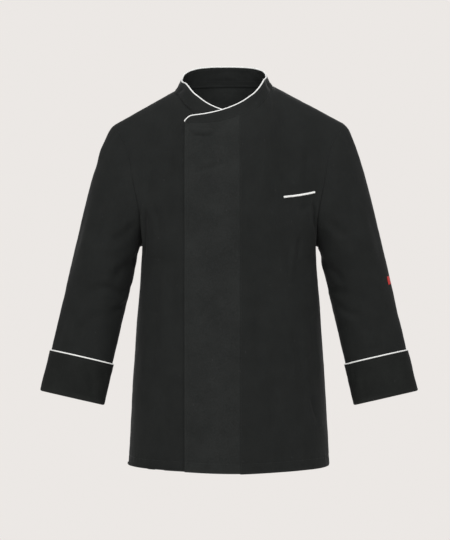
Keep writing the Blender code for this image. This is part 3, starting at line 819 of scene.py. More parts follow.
def grid_mesh(name: str, grid: Floats, flat: tuple[Floats, Floats], wear: Floats,
              tube: bool = False, capped: bool = False) -> bpy.types.Mesh:
    """A flat grid laid on its places.

    Args:
        name: of the mesh.
        grid: the places, row by row.
        flat: where each lies on the flat cloth, across and up.
        wear: how rubbed the cloth is at each.
        tube: whether the last column meets the first.
        capped: whether the open ends are filled.

    Returns:
        The mesh, with its UV map and its wear attribute.
    """
    rows, columns = grid.shape[:2]
    bm = bmesh.new()
    uv_layer = bm.loops.layers.uv.new(UV)
    wear_layer = bm.verts.layers.float.new(WEAR)
    bmesh.ops.create_grid(bm, x_segments=columns - 1, y_segments=rows - 1, size=1.0)
    spots = {}
    for vert in bm.verts:
        column = round((vert.co.x + 1) / 2 * (columns - 1))
        row = round((vert.co.y + 1) / 2 * (rows - 1))
        spots[vert] = (row, column)
        vert[wear_layer] = float(wear[row, column])
    for face in bm.faces:
        face.smooth = True
        for loop in face.loops:
            spot = spots[loop.vert]
            loop[uv_layer].uv = (flat[0][spot], flat[1][spot])
    for vert, spot in spots.items():
        vert.co = Vector(grid[spot])
    if tube:
        seam = [vert for vert, (row, column) in spots.items() if column in (0, columns - 1)]
        bmesh.ops.remove_doubles(bm, verts=seam, dist=0.00001)
    if capped:
        open_edges = [edge for edge in bm.edges if edge.is_boundary]
        bmesh.ops.holes_fill(bm, edges=open_edges, sides=0)
        bmesh.ops.recalc_face_normals(bm, faces=bm.faces)
    return mesh_of(bm, name)


def shown(name: str, mesh: bpy.types.Mesh, material: bpy.types.Material,
          node: str = "") -> bpy.types.Object:
    """Puts a mesh in the scene as a piece of the jacket.

    Args:
        name: of the piece.
        mesh: its mesh, in its place.
        material: its finish.
        node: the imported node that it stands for, if any.

    Returns:
        The piece.
    """
    mesh.materials.append(material)
    made = linked(name, mesh)
    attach(made, BODY)
    if node:
        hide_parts(node)
    log.info("%s: %d faces, for %s", name, len(mesh.polygons), node or "itself")
    return made


@dataclass
class Sewn:
    """A finished cloth piece and its outer face, to seat other things on."""

    cloth: Cloth
    face: BVHTree

    def seat(self, place: Floats) -> tuple[Floats, Floats]:
        """The nearest place on the outer face, and the outward normal there."""
        spot, normal, _, _ = self.face.find_nearest(Vector(place))
        return np.array(spot), np.array(normal)

    def from_front(self, across: float, height: float) -> tuple[Floats, Floats]:
        """The place on the face seen straight from the front, and the outward normal there."""
        spot, normal, _, _ = self.face.ray_cast(Vector((across, -1, height)), Vector((0, 1, 0)))
        return np.array(spot), np.array(normal)


RIM = 0.0004  # how far the cut or folded edges of cloth are rounded
RIM_ANGLE = math.radians(55)


def sewn(cloth: Cloth, material: bpy.types.Material, wear: Floats | float = 0.0, node: str = "",
         inside: bpy.types.Material | None = None) -> Sewn:
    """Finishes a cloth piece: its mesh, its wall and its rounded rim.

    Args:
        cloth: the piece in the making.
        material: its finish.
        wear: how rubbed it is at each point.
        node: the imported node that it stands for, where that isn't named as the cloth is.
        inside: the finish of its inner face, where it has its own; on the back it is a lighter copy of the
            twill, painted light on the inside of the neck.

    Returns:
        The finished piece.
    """
    if cloth.tube:
        cloth.relief[:, 0] = cloth.relief[:, -1] = (cloth.relief[:, 0] + cloth.relief[:, -1]) / 2
    wear = np.broadcast_to(wear, cloth.relief.shape)
    mesh = grid_mesh("cloth_" + cloth.name, *cloth.finished(wear), cloth.tube)
    vertices = [vertex.co.copy() for vertex in mesh.vertices]
    face = BVHTree.FromPolygons(vertices, [tuple(polygon.vertices) for polygon in mesh.polygons])
    piece = shown("cloth_" + cloth.name, mesh, material, node or cloth.name)
    wall = piece.modifiers.new("wall", "SOLIDIFY")
    wall.thickness = cloth.wall
    wall.offset = 0.0 if cloth.centred else -1.0
    # The inner face may take its own finish; the back's is lighter, painted light where the inside of the
    # neck lies in shade.
    if inside:
        mesh.materials.append(inside)
        wall.material_offset = 1
    rim = piece.modifiers.new("rim", "BEVEL")
    rim.width = min(RIM, cloth.wall * 0.4)
    rim.segments = 2
    rim.limit_method = "ANGLE"
    rim.angle_limit = RIM_ANGLE
    return Sewn(cloth, face)


def piping(name: str, path: Floats, out: Floats, radius: float, material: bpy.types.Material,
           node: str, closed: bool = False, sides: int = 14) -> bpy.types.Object:
    """A cord covered with bias-cut cloth, along a path.

    Args:
        name: of the piece.
        path: its places.
        out: a direction square to it at each.
        radius: of the covered cord.
        material: its finish.
        node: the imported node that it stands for.
        closed: whether its ends meet.
        sides: how many faces round it.

    Returns:
        The piece.
    """
    if closed:
        path, out = np.concatenate([path, path[:1]]), np.concatenate([out, out[:1]])
    along = np.gradient(path, axis=0)
    if closed:
        along[0] = along[-1] = path[1] - path[-2]
    along = unit(along)
    out = unit(out - along * np.sum(out * along, axis=-1, keepdims=True))
    aside = np.cross(along, out)
    turns = np.radians(np.linspace(0, 360, sides + 1))
    grid = path[:, None] + radius * (
        np.cos(turns)[None, :, None] * out[:, None] + np.sin(turns)[None, :, None] * aside[:, None]
    )
    shape = grid.shape[:2]
    flat = (np.broadcast_to(turns * radius, shape), np.broadcast_to(lengths(path)[:, None], shape))
    mesh = grid_mesh(name, grid, flat, np.zeros(shape), tube=True, capped=not closed)
    if closed:
        bm = bmesh.new()
        bm.from_mesh(mesh)
        bmesh.ops.remove_doubles(bm, verts=bm.verts, dist=0.00001)
        bmesh.ops.recalc_face_normals(bm, faces=bm.faces)
        bm.to_mesh(mesh)
        bm.free()
    return shown(name, mesh, material, node)


# ---------------------------------------------------------------- thread
@dataclass
class Stitching:
    """Rows of lockstitches, gathered into one piece for each part of the jacket."""

    name: str
    length: float = 0.0026
    gap: float = 0.0008
    half_width: float = 0.00024
    half_height: float = 0.00016
    lines: list[tuple[Floats, Floats]] = field(default_factory=list)

    def along(self, cloth: Cloth, edge: Edge, distance: float, skipped: tuple[int, int] = (2, 2),
              inside: bool = False) -> None:
        """Adds a row that follows an edge.

        Args:
            cloth: the piece that it is sewn through.
            edge: the edge that it follows.
            distance: how far it is from it.
            skipped: how many of the cloth's lines it leaves out at its two ends.
            inside: whether it shows on the inner face.
        """
        row, normals = cloth.line(edge, distance, inside)
        kept = slice(skipped[0], len(row) - skipped[1])
        self.lines.append((row[kept], normals[kept]))

    def row(self, path: Floats, normals: Floats) -> bmesh.types.BMesh:
        """One row of stitches as a bmesh."""
        length, pitch = lengths(path), self.length + self.gap
        bm = bmesh.new()
        for start in np.arange(self.gap, length[-1] - pitch, pitch):
            ends = [
                np.array([np.interp(start + more, length, path[:, k]) for k in range(3)])
                for more in (0.0, self.length)
            ]
            middle = (ends[0] + ends[1]) / 2
            normal = unit(np.array([np.interp(start, length, normals[:, k]) for k in range(3)]))
            along = unit(ends[1] - ends[0])
            aside = np.cross(normal, along)
            axes = (along * self.length / 2, aside * self.half_width, normal * self.half_height)
            matrix = Matrix.Identity(4)
            for column, axis in enumerate((*axes, middle + normal * self.half_height * 0.5)):
                for line in range(3):
                    matrix[line][column] = axis[line]
            bmesh.ops.create_icosphere(bm, subdivisions=1, radius=1.0, matrix=matrix)
        return bm

    def build(self, material: bpy.types.Material) -> bpy.types.Object:
        """Makes the piece.

        Args:
            material: the thread's finish.

        Returns:
            The piece.
        """
        joined = bmesh.new()
        for path, normals in self.lines:
            mesh = mesh_of(self.row(path, normals), "stitch_row")
            joined.from_mesh(mesh)
            bpy.data.meshes.remove(mesh)
        bmesh.ops.recalc_face_normals(joined, faces=joined.faces)
        for face in joined.faces:
            face.smooth = True
        name = "stitching_" + self.name
        return shown(name, mesh_of(joined, name), material)


# ---------------------------------------------------------------- finishes
class Graph:
    """A node tree in the making."""

    def __init__(self, tree: bpy.types.NodeTree) -> None:
        """Starts on a tree."""
        self.tree = tree

    def feed(self, socket: bpy.types.NodeSocket, value: object) -> None:
        """Links a socket to another, or sets its value."""
        if isinstance(value, bpy.types.NodeSocket):
            self.tree.links.new(value, socket)
        else:
            socket.default_value = value

    def add(self, kind: str, inputs: dict, **settings: object) -> bpy.types.Node:
        """Adds a node.

        Args:
            kind: its type, without ShaderNode in front.
            inputs: what feeds its sockets, by name or number.
            settings: its own properties.

        Returns:
            The node.
        """
        node = self.tree.nodes.new("ShaderNode" + kind)
        for name, value in settings.items():
            setattr(node, name, value)
        for name, value in inputs.items():
            self.feed(node.inputs[name], value)
        return node

    def group(self, tree: bpy.types.NodeTree, inputs: dict) -> bpy.types.NodeSocket:
        """Adds a node group and gives its output."""
        return self.add("Group", inputs, node_tree=tree).outputs[0]

    def math(self, operation: str, a: object, b: object = 0.0) -> bpy.types.NodeSocket:
        """Adds a Math node and gives its output."""
        return self.add("Math", {0: a, 1: b}, operation=operation).outputs[0]

    def blend(self, factor: object, a: object, b: object) -> bpy.types.NodeSocket:
        """Mixes two colours."""
        node = self.add("Mix", {0: factor}, data_type="RGBA")
        self.feed(node.inputs[6], a)
        self.feed(node.inputs[7], b)
        return node.outputs[2]


def new_group(name: str, inputs: dict[str, str], output: str) -> tuple[Graph, dict, bpy.types.NodeSocket]:
    """Starts a shader node group.

    Args:
        name: of the group.
        inputs: its inputs' names with their socket types.
        output: its one output, a value.

    Returns:
        Its graph, its inputs by name and the socket to feed its output.
    """
    tree = bpy.data.node_groups.new(name, "ShaderNodeTree")
    for label, kind in inputs.items():
        tree.interface.new_socket(name=label, in_out="INPUT", socket_type=kind)
    tree.interface.new_socket(name=output, in_out="OUTPUT", socket_type="NodeSocketFloat")
    source = tree.nodes.new("NodeGroupInput")
    target = tree.nodes.new("NodeGroupOutput")
    return Graph(tree), {label: source.outputs[label] for label in inputs}, target.inputs[output]


FLOAT, VECTOR = "NodeSocketFloat", "NodeSocketVector"


def twill_group() -> bpy.types.NodeTree:
    """Twill weave as a height from 0 to 1: yarns both ways under a diagonal rib."""
    graph, source, target = new_group("twill", {"Flat": VECTOR, "Threads": FLOAT}, "Height")
    parts = graph.add("SeparateXYZ", {0: source["Flat"]})
    u = graph.math("MULTIPLY", parts.outputs[0], source["Threads"])
    v = graph.math("MULTIPLY", parts.outputs[1], source["Threads"])
    diagonal = graph.math("MULTIPLY", graph.math("ADD", u, v), 2 * math.pi / 3)
    rib = graph.math("MULTIPLY_ADD", graph.math("SINE", diagonal), 0.30)
    graph.feed(rib.node.inputs[2], 0.30)
    warp = graph.math("ABSOLUTE", graph.math("SINE", graph.math("MULTIPLY", u, math.pi)))
    weft = graph.math("ABSOLUTE", graph.math("SINE", graph.math("MULTIPLY", v, math.pi)))
    yarns = graph.math("ADD", graph.math("MULTIPLY", warp, 0.25), graph.math("MULTIPLY", weft, 0.15))
    graph.feed(target, graph.math("ADD", rib, yarns))
    return graph.tree


def unevenness_group() -> bpy.types.NodeTree:
    """A soft, cloudy value about 0, at a number of clouds to the metre."""
    inputs = {"Place": VECTOR, "Per metre": FLOAT, "Amount": FLOAT}
    graph, source, target = new_group("unevenness", inputs, "Value")
    clouds = graph.add(
        "TexNoise",
        {"Vector": source["Place"], "Scale": source["Per metre"], "Detail": 3.0, "Roughness": 0.6},
    )
    centred = graph.math("SUBTRACT", clouds.outputs[0], 0.5)
    graph.feed(target, graph.math("MULTIPLY", centred, source["Amount"]))
    return graph.tree


def lint_group() -> bpy.types.NodeTree:
    """A mask of a few tiny fibres that cling to the cloth."""
    graph, source, target = new_group("lint", {"Place": VECTOR, "Per metre": FLOAT}, "Mask")
    stretched = graph.add("Mapping", {"Vector": source["Place"], "Scale": (1.0, 1.0, 0.30)})
    cells = graph.add("TexVoronoi", {"Vector": stretched.outputs[0], "Scale": source["Per metre"]})
    near = graph.math("LESS_THAN", cells.outputs["Distance"], 0.10)
    chosen = graph.add("SeparateColor", {0: cells.outputs["Color"]})
    rare = graph.math("GREATER_THAN", chosen.outputs[0], 0.93)
    graph.feed(target, graph.math("MULTIPLY", near, rare))
    return graph.tree


@dataclass
class Shared:
    """The node groups that the finishes share, each built once."""

    twill: bpy.types.NodeTree = field(default_factory=twill_group)
    unevenness: bpy.types.NodeTree = field(default_factory=unevenness_group)
    lint: bpy.types.NodeTree = field(default_factory=lint_group)


def new_material(name: str) -> tuple[bpy.types.Material, Graph, bpy.types.Node]:
    """A new material, its graph and its shader."""
    made = bpy.data.materials.new(name)
    made.use_nodes = True
    return made, Graph(made.node_tree), made.node_tree.nodes["Principled BSDF"]


@dataclass(frozen=True)
class ClothFinish:
    """A woven cloth: its two colours, how it takes light, and its weave."""

    name: str
    dark: tuple[float, float, float]
    light: tuple[float, float, float]
    roughness: float = 0.84
    sheen: float = 0.03
    specular: float = 0.20
    threads: float = 2400.0  # to the metre
    weave_depth: float = 0.00010
    cloud_contrast: float = 1.1  # broad unevenness of the dye and the press
    grain_contrast: float = 1.6  # fine unevenness of the yarns
    grain_depth: float = 0.00012
    lint: float = 0.25
    rubbed: float = 0.45  # how much lighter the cloth is where it is worn

    def material(self, shared: Shared) -> bpy.types.Material:
        """Builds the finish.

        Args:
            shared: the node groups.

        Returns:
            The material.
        """
        made, graph, shader = new_material(self.name)
        flat = graph.add("UVMap", {}, uv_map=UV).outputs[0]
        place = graph.add("TexCoord", {}).outputs["Object"]
        worn = graph.add("Attribute", {}, attribute_name=WEAR).outputs["Fac"]
        weave = graph.group(shared.twill, {"Flat": flat, "Threads": self.threads})
        clouds, grain = (
            graph.group(shared.unevenness, {"Place": place, "Per metre": count, "Amount": amount})
            for count, amount in ((22.0, self.cloud_contrast), (420.0, self.grain_contrast))
        )
        fibres = graph.group(shared.lint, {"Place": place, "Per metre": 190.0})
        tone = graph.math("ADD", graph.math("ADD", clouds, grain), 0.42)
        tone = graph.math("ADD", tone, graph.math("MULTIPLY", graph.math("SUBTRACT", weave, 0.5), 0.5))
        tone = graph.math("ADD", tone, graph.math("MULTIPLY", worn, self.rubbed))
        tone = graph.add("Clamp", {0: tone, 1: 0.0, 2: 1.3}).outputs[0]
        colour = graph.blend(tone, (*self.dark, 1.0), (*self.light, 1.0))
        fluff = graph.math("MULTIPLY", fibres, self.lint)
        graph.feed(shader.inputs["Base Color"], graph.blend(fluff, colour, (0.10, 0.10, 0.10, 1.0)))
        rough = graph.math("ADD", graph.math("MULTIPLY", grain, 0.10), self.roughness)
        rough = graph.math("SUBTRACT", rough, graph.math("MULTIPLY", worn, 0.08))
        graph.feed(shader.inputs["Roughness"], rough)
        shader.inputs["Specular IOR Level"].default_value = self.specular
        shader.inputs["Sheen Weight"].default_value = self.sheen
        shader.inputs["Sheen Roughness"].default_value = 0.5
        height = graph.math("ADD", graph.math("MULTIPLY", weave, self.weave_depth),
                            graph.math("MULTIPLY", grain, self.grain_depth))
        relief = graph.add("Bump", {"Height": height, "Distance": 1.0, "Strength": 0.8})
        graph.feed(shader.inputs["Normal"], relief.outputs[0])
        return made


@dataclass(frozen=True)
class MetalFinish:
    """Plated metal with fine scuffs."""

    name: str = "plated_steel"
    colour: tuple[float, float, float] = (0.42, 0.42, 0.43)
    roughness: float = 0.30

    def material(self, shared: Shared) -> bpy.types.Material:
        """Builds the finish.

        Args:
            shared: the node groups.

        Returns:
            The material.
        """
        made, graph, shader = new_material(self.name)
        place = graph.add("TexCoord", {}).outputs["Object"]
        scuffs = graph.group(shared.unevenness, {"Place": place, "Per metre": 900.0, "Amount": 0.5})
        darker = tuple(0.6 * value for value in self.colour)
        tone = graph.math("ADD", scuffs, 0.5)
        graph.feed(shader.inputs["Base Color"], graph.blend(tone, (*darker, 1.0), (*self.colour, 1.0)))
        graph.feed(shader.inputs["Roughness"], graph.math("ADD", scuffs, self.roughness))
        shader.inputs["Metallic"].default_value = 1.0
        return made


@dataclass
class Palette:
    """The jacket's finishes."""

    shared: Shared = field(default_factory=Shared)
    twill: bpy.types.Material = field(init=False)
    inside: bpy.types.Material = field(init=False)
    band: bpy.types.Material = field(init=False)
    white: bpy.types.Material = field(init=False)
    reverse: bpy.types.Material = field(init=False)
    thread: bpy.types.Material = field(init=False)
    red: bpy.types.Material = field(init=False)
    metal: bpy.types.Material = field(init=False)

    def __post_init__(self) -> None:
        """Builds every finish once."""
        finishes = {
            "twill": ClothFinish("black_twill", (0.0063, 0.0072, 0.0067), (0.0128, 0.0141, 0.0134)),
            # The back's inner face: a lighter copy of the black twill, painted light where the inside of the
            # neck lies in shade.
            "inside": ClothFinish("black_twill_inside_painted_light", (0.0132, 0.0148, 0.0140), (0.0262, 0.0286, 0.0273)),
            # The front band: a lighter copy of the black twill with coarser grain. The grain is the cloth's
            # own; the lighter tone is painted light where the band faces the lamps.
            "band": ClothFinish(
                "black_twill_band_painted_light", (0.0082, 0.0093, 0.0088), (0.0188, 0.0205, 0.0195),
                grain_contrast=2.2, grain_depth=0.00018,
            ),
            # The turned-back cuffs: a darker copy of the black twill, painted shade on the cuffs.
            "reverse": ClothFinish(
                "black_twill_cuff_painted_shade", (0.0045, 0.0053, 0.0047), (0.0109, 0.0122, 0.0111), cloud_contrast=1.5
            ),
            "white": ClothFinish(
                "white_piping", (0.82, 0.82, 0.80), (0.94, 0.94, 0.92), roughness=0.62, sheen=0.15,
                specular=0.4, threads=3000.0, weave_depth=0.00005, cloud_contrast=0.5,
                grain_contrast=0.6, grain_depth=0.00004, lint=0.0,
            ),
            "thread": ClothFinish(
                "black_thread", (0.010, 0.011, 0.011), (0.030, 0.032, 0.032), roughness=0.55,
                specular=0.4, threads=5000.0, weave_depth=0.00004, lint=0.0,
            ),
            "red": ClothFinish(
                "red_tape", (0.42, 0.012, 0.010), (0.72, 0.035, 0.028), roughness=0.7, sheen=0.15,
                threads=3200.0, weave_depth=0.00006, cloud_contrast=0.4, grain_contrast=0.7,
                grain_depth=0.00005, lint=0.1,
            ),
            "metal": MetalFinish(),
        }
        for name, finish in finishes.items():
            setattr(self, name, finish.material(self.shared))


# ---------------------------------------------------------------- sub-assemblies
STITCH_FROM_SEAM = 0.0018
FINE_RUMPLE = (0.00028, 0.012, 1.0)  # depth, size and stretch
HEM_DROP = 0.0046  # of the left front and the band


def lines_up(low_count: int, high_count: int) -> tuple[Floats, Floats]:
    """Rises below the underarm and shares of the way above it, close together at hem and top."""
    low = spread(low_count, (0.0, 0.010, 5.0), (0.046, 0.008, 3.0))
    high = spread(high_count, (1.0, 0.02, 3.0), (0.95, 0.015, 1.5))
    return low, high


def sewn_edges(cloth: Cloth, *edges: Edge) -> None:
    """Rolls the sewn edges of a piece in, and presses a faint groove along their stitches."""
    for edge in edges:
        cloth.press(edge, 0.0, -0.0005, 0.0013)
        cloth.press(edge, 0.0040, 0.0002, 0.0022)


def lapped(grid: Floats, *edges: Edge, chosen: Floats | None = None) -> Floats:
    """The grid with its sewn edges lengthened by half a seam lap.

    Args:
        grid: the places.
        edges: which of its edges.
        chosen: which points of each edge move, or all.

    Returns:
        A changed copy.
    """
    grid = grid.copy()
    for edge in edges:
        lines = grid if edge in (Edge.FIRST_ROW, Edge.LAST_ROW) else grid.transpose(1, 0, 2)
        lines = lines[::-1] if edge in (Edge.LAST_ROW, Edge.LAST_COLUMN) else lines
        step = unit(lines[0] - lines[1]) * SEAM_LAP / 2
        lines[0] += step if chosen is None else step * chosen[:, None]
    return grid


def smoothed(grid: Floats, column: int, reach: int, passes: int = 60) -> Floats:
    """The grid with the turn in its lines at one column made soft, less and less up to the last row.

    Args:
        grid: the places.
        column: where the lines turn.
        reach: how many columns to each side are changed.
        passes: how often they are averaged.

    Returns:
        A changed copy.
    """
    grid = grid.copy()
    columns = np.abs(np.arange(grid.shape[1]) - column)
    near = ease(1.6 * (1 - columns / reach))[None, :, None]
    below = np.arange(grid.shape[0])[::-1]
    weight = near * ease(below / 14)[:, None, None]
    for _ in range(passes):
        grid[:, 1:-1] += weight[:, 1:-1] * ((grid[:, :-2] + grid[:, 2:]) / 2 - grid[:, 1:-1]) / 2
    return grid


def hem_hung(grid: Floats, drop: float, middle: float = 0.010, reach: float = 0.105) -> Floats:
    """The grid with its hem hanging lower near the middle of the front.

    Args:
        grid: the places.
        drop: how much lower.
        middle: where the most, across.
        reach: how far to the sides.

    Returns:
        A changed copy.
    """
    grid = grid.copy()
    low = 1 - ease((grid[..., 2] - grid[0, :, 2]) / 0.14)
    grid[..., 2] -= drop * low * bump_of(grid[..., 0] - middle, reach)
    return grid


@dataclass
class Panel:
    """What the panels of the body share: their form and finishes, and how their cloth is worked."""

    body: BodyForm
    palette: Palette
    creases: tuple = ()

    def past_neck(self, columns: int) -> Floats:
        """Shares of the form from the neck point to the side."""
        return mix(self.body.neck_share, 1.0, spread(columns, (1.0, 0.06, 3.0)))

    def hemmed(self, name: str, grid: Floats, broad: tuple[float, float, float, float], fine_seed: float,
               *seams: Edge, gathers: tuple[float, float] = (0.00024, 0.012),
               kept: Floats | float = 1.0) -> Cloth:
        """Cuts a panel, creases it, rolls its seams in and turns up its hem.

        Args:
            name: of the panel.
            grid: its places.
            broad: depth, size, stretch and seed of its broad rumples.
            fine_seed: of its fine ones.
            seams: its sewn edges.
            gathers: depth and pitch of the gathers along its hem.
            kept: how much of the creases and broad rumples stays at each point.

        Returns:
            The panel in the making.
        """
        cloth = Cloth(name, grid, CLOTH, turn=HEM_TURN, turn_radius=TURN_RADIUS)
        cloth.crease(*self.creases)
        cloth.rumple(*broad)
        cloth.relief *= kept
        cloth.calm(*seams)
        cloth.rumple(*FINE_RUMPLE, fine_seed)
        sewn_edges(cloth, *seams)
        cloth.press(Edge.FIRST_ROW, HEM_STITCH, -0.0004, 0.0016)
        cloth.pucker(Edge.FIRST_ROW, HEM_TURN, *gathers)
        return cloth

    def hem_wear(self, cloth: Cloth) -> Floats:
        """How the hem is rubbed along its fold."""
        return 0.8 * bump_of(cloth.from_edge(Edge.FIRST_ROW), 0.003)


@dataclass
class Back(Panel):
    """The back panel: one piece from side seam to side seam, with a turned hem."""

    neck_columns: int = 50
    shoulder_columns: int = 38
    creases: tuple = (
        Crease(((-0.150, -0.330), (-0.120, -0.350), (-0.085, -0.345)), 0.010, -0.0030),
        Crease(((0.155, -0.325), (0.128, -0.360), (0.100, -0.372)), 0.011, -0.0036),
        Crease(((-0.168, -0.230), (-0.148, -0.285), (-0.140, -0.330)), 0.008, -0.0026),
        Crease(((0.172, -0.215), (0.150, -0.270), (0.146, -0.320)), 0.009, -0.0030),
        Crease(((-0.070, -0.100), (-0.085, -0.200), (-0.078, -0.300)), 0.020, -0.0022),
        Crease(((0.060, -0.110), (0.082, -0.210), (0.070, -0.330)), 0.022, -0.0026),
        Crease(((-0.110, -0.420), (-0.118, -0.540), (-0.108, -0.690)), 0.018, -0.0034),
        Crease(((0.036, -0.440), (0.030, -0.560), (0.044, -0.700)), 0.020, -0.0030),
        Crease(((0.126, -0.430), (0.140, -0.540), (0.136, -0.680)), 0.015, -0.0036),
        Crease(((-0.030, -0.520), (-0.040, -0.610), (-0.026, -0.720)), 0.014, -0.0022),
        Crease(((-0.090, -0.395), (-0.020, -0.410), (0.060, -0.398)), 0.010, -0.0016),
        Crease(((-0.060, -0.030), (0.000, -0.042), (0.058, -0.032)), 0.010, -0.0014),
        Crease(((-0.0035, -0.004), (-0.0035, -0.014), (-0.0035, -0.024)), 0.0022, -0.0009, fade_in=0.2),
    )

    def build(self) -> tuple[Sewn, Floats]:
        """Makes the panel.

        Returns:
            It and its neck edge.
        """
        neck = spread(self.neck_columns) * 2 * self.body.neck_share - self.body.neck_share
        past = self.past_neck(self.shoulder_columns)
        shares = np.concatenate([-past[::-1], neck[1:-1], past])
        low, high = lines_up(100, 92)
        rises = np.concatenate([low, 1 + high[1:]])[:, None] * np.ones(len(shares))
        grid = self.body.back(shares, rises)
        right_neck, left_neck = self.shoulder_columns - 1, len(shares) - self.shoulder_columns
        for column in (right_neck, left_neck):
            grid = smoothed(grid, column, 22)
        edge = grid[-1, right_neck : left_neck + 1]
        sides = (Edge.FIRST_COLUMN, Edge.LAST_COLUMN)
        grid = lapped(lapped(grid, *sides), Edge.LAST_ROW, chosen=np.abs(shares) >= self.body.neck_share)
        seams = (*sides, Edge.LAST_ROW)
        cloth = self.hemmed("back", grid, (0.0013, 0.055, 1.7, 3.1), 8.4, *seams, gathers=(0.00024, 0.013))
        # The inner face takes the lighter inside finish: painted light on the inside of the neck.
        return sewn(cloth, self.palette.twill, self.hem_wear(cloth), inside=self.palette.inside), edge


@dataclass
class RightFront(Panel):
    """The wearer's right front, whose underlap lies behind the band."""

    underlap_edge: float = 0.0180
    hem_rise: float = 0.0022
    hem_drop: float = 0.0030
    lap_columns: int = 26
    neck_columns: int = 12
    shoulder_columns: int = 70
    creases: tuple = (
        Crease(((-0.1500, -0.140), (-0.1580, -0.190), (-0.1640, -0.240)), 0.009, -0.0020),
        Crease(((-0.1640, -0.236), (-0.1660, -0.290), (-0.1660, -0.345)), 0.0055, -0.0056, fade_in=0.25),
        Crease(((-0.1540, -0.225), (-0.1400, -0.262), (-0.1350, -0.300)), 0.0075, -0.0022),
        Crease(((-0.1080, -0.330), (-0.1120, -0.420), (-0.1060, -0.520)), 0.0120, -0.0034),
        Crease(((-0.1420, -0.390), (-0.1460, -0.500), (-0.1560, -0.640)), 0.0150, -0.0030),
        Crease(((-0.1180, -0.560), (-0.1240, -0.640), (-0.1200, -0.735)), 0.0130, -0.0032),
        Crease(((-0.1700, -0.430), (-0.1500, -0.446), (-0.1280, -0.440)), 0.0070, -0.0014),
        Crease(((-0.1100, -0.150), (-0.1220, -0.210), (-0.1160, -0.280)), 0.0110, -0.0018),
        Crease(((-0.1800, -0.690), (-0.1500, -0.700), (-0.1250, -0.690)), 0.0080, -0.0010),
    )

    def build(self) -> tuple[Sewn, Floats]:
        """Makes the panel.

        Returns:
            It and its neck edge, from the shoulder to the hidden edge reversed.
        """
        straight = mix(self.underlap_edge, BAND_EDGE, spread(self.lap_columns))
        neck = np.linspace(0, 1, self.neck_columns + 1)[1:]
        past = self.past_neck(self.shoulder_columns)[1:]
        shares, rises = self.body.front_lines(Side.RIGHT, straight, neck, past, *lines_up(100, 92))
        rises[0] += self.hem_rise / (self.body.underarm_height - self.body.hem_height)
        corner = len(straight) + len(neck)
        grid = smoothed(hem_hung(self.body.front(shares, rises), self.hem_drop), corner - 1, 26)
        edge = grid[-1, :corner][::-1]
        on_shoulder = np.arange(grid.shape[1]) >= corner - 1
        grid = lapped(lapped(grid, Edge.LAST_COLUMN), Edge.LAST_ROW, chosen=on_shoulder)[:, ::-1]
        kept = 1 - ease((grid[..., 0] - BAND_EDGE + 0.012) / 0.012)
        seams = (Edge.FIRST_COLUMN, Edge.LAST_ROW)
        gathers = (0.00022, 0.012)
        cloth = self.hemmed(
            "front_right", grid, (0.0012, 0.050, 1.9, 5.3), 2.4, *seams, gathers=gathers, kept=kept
        )
        return sewn(cloth, self.palette.twill, self.hem_wear(cloth)), edge


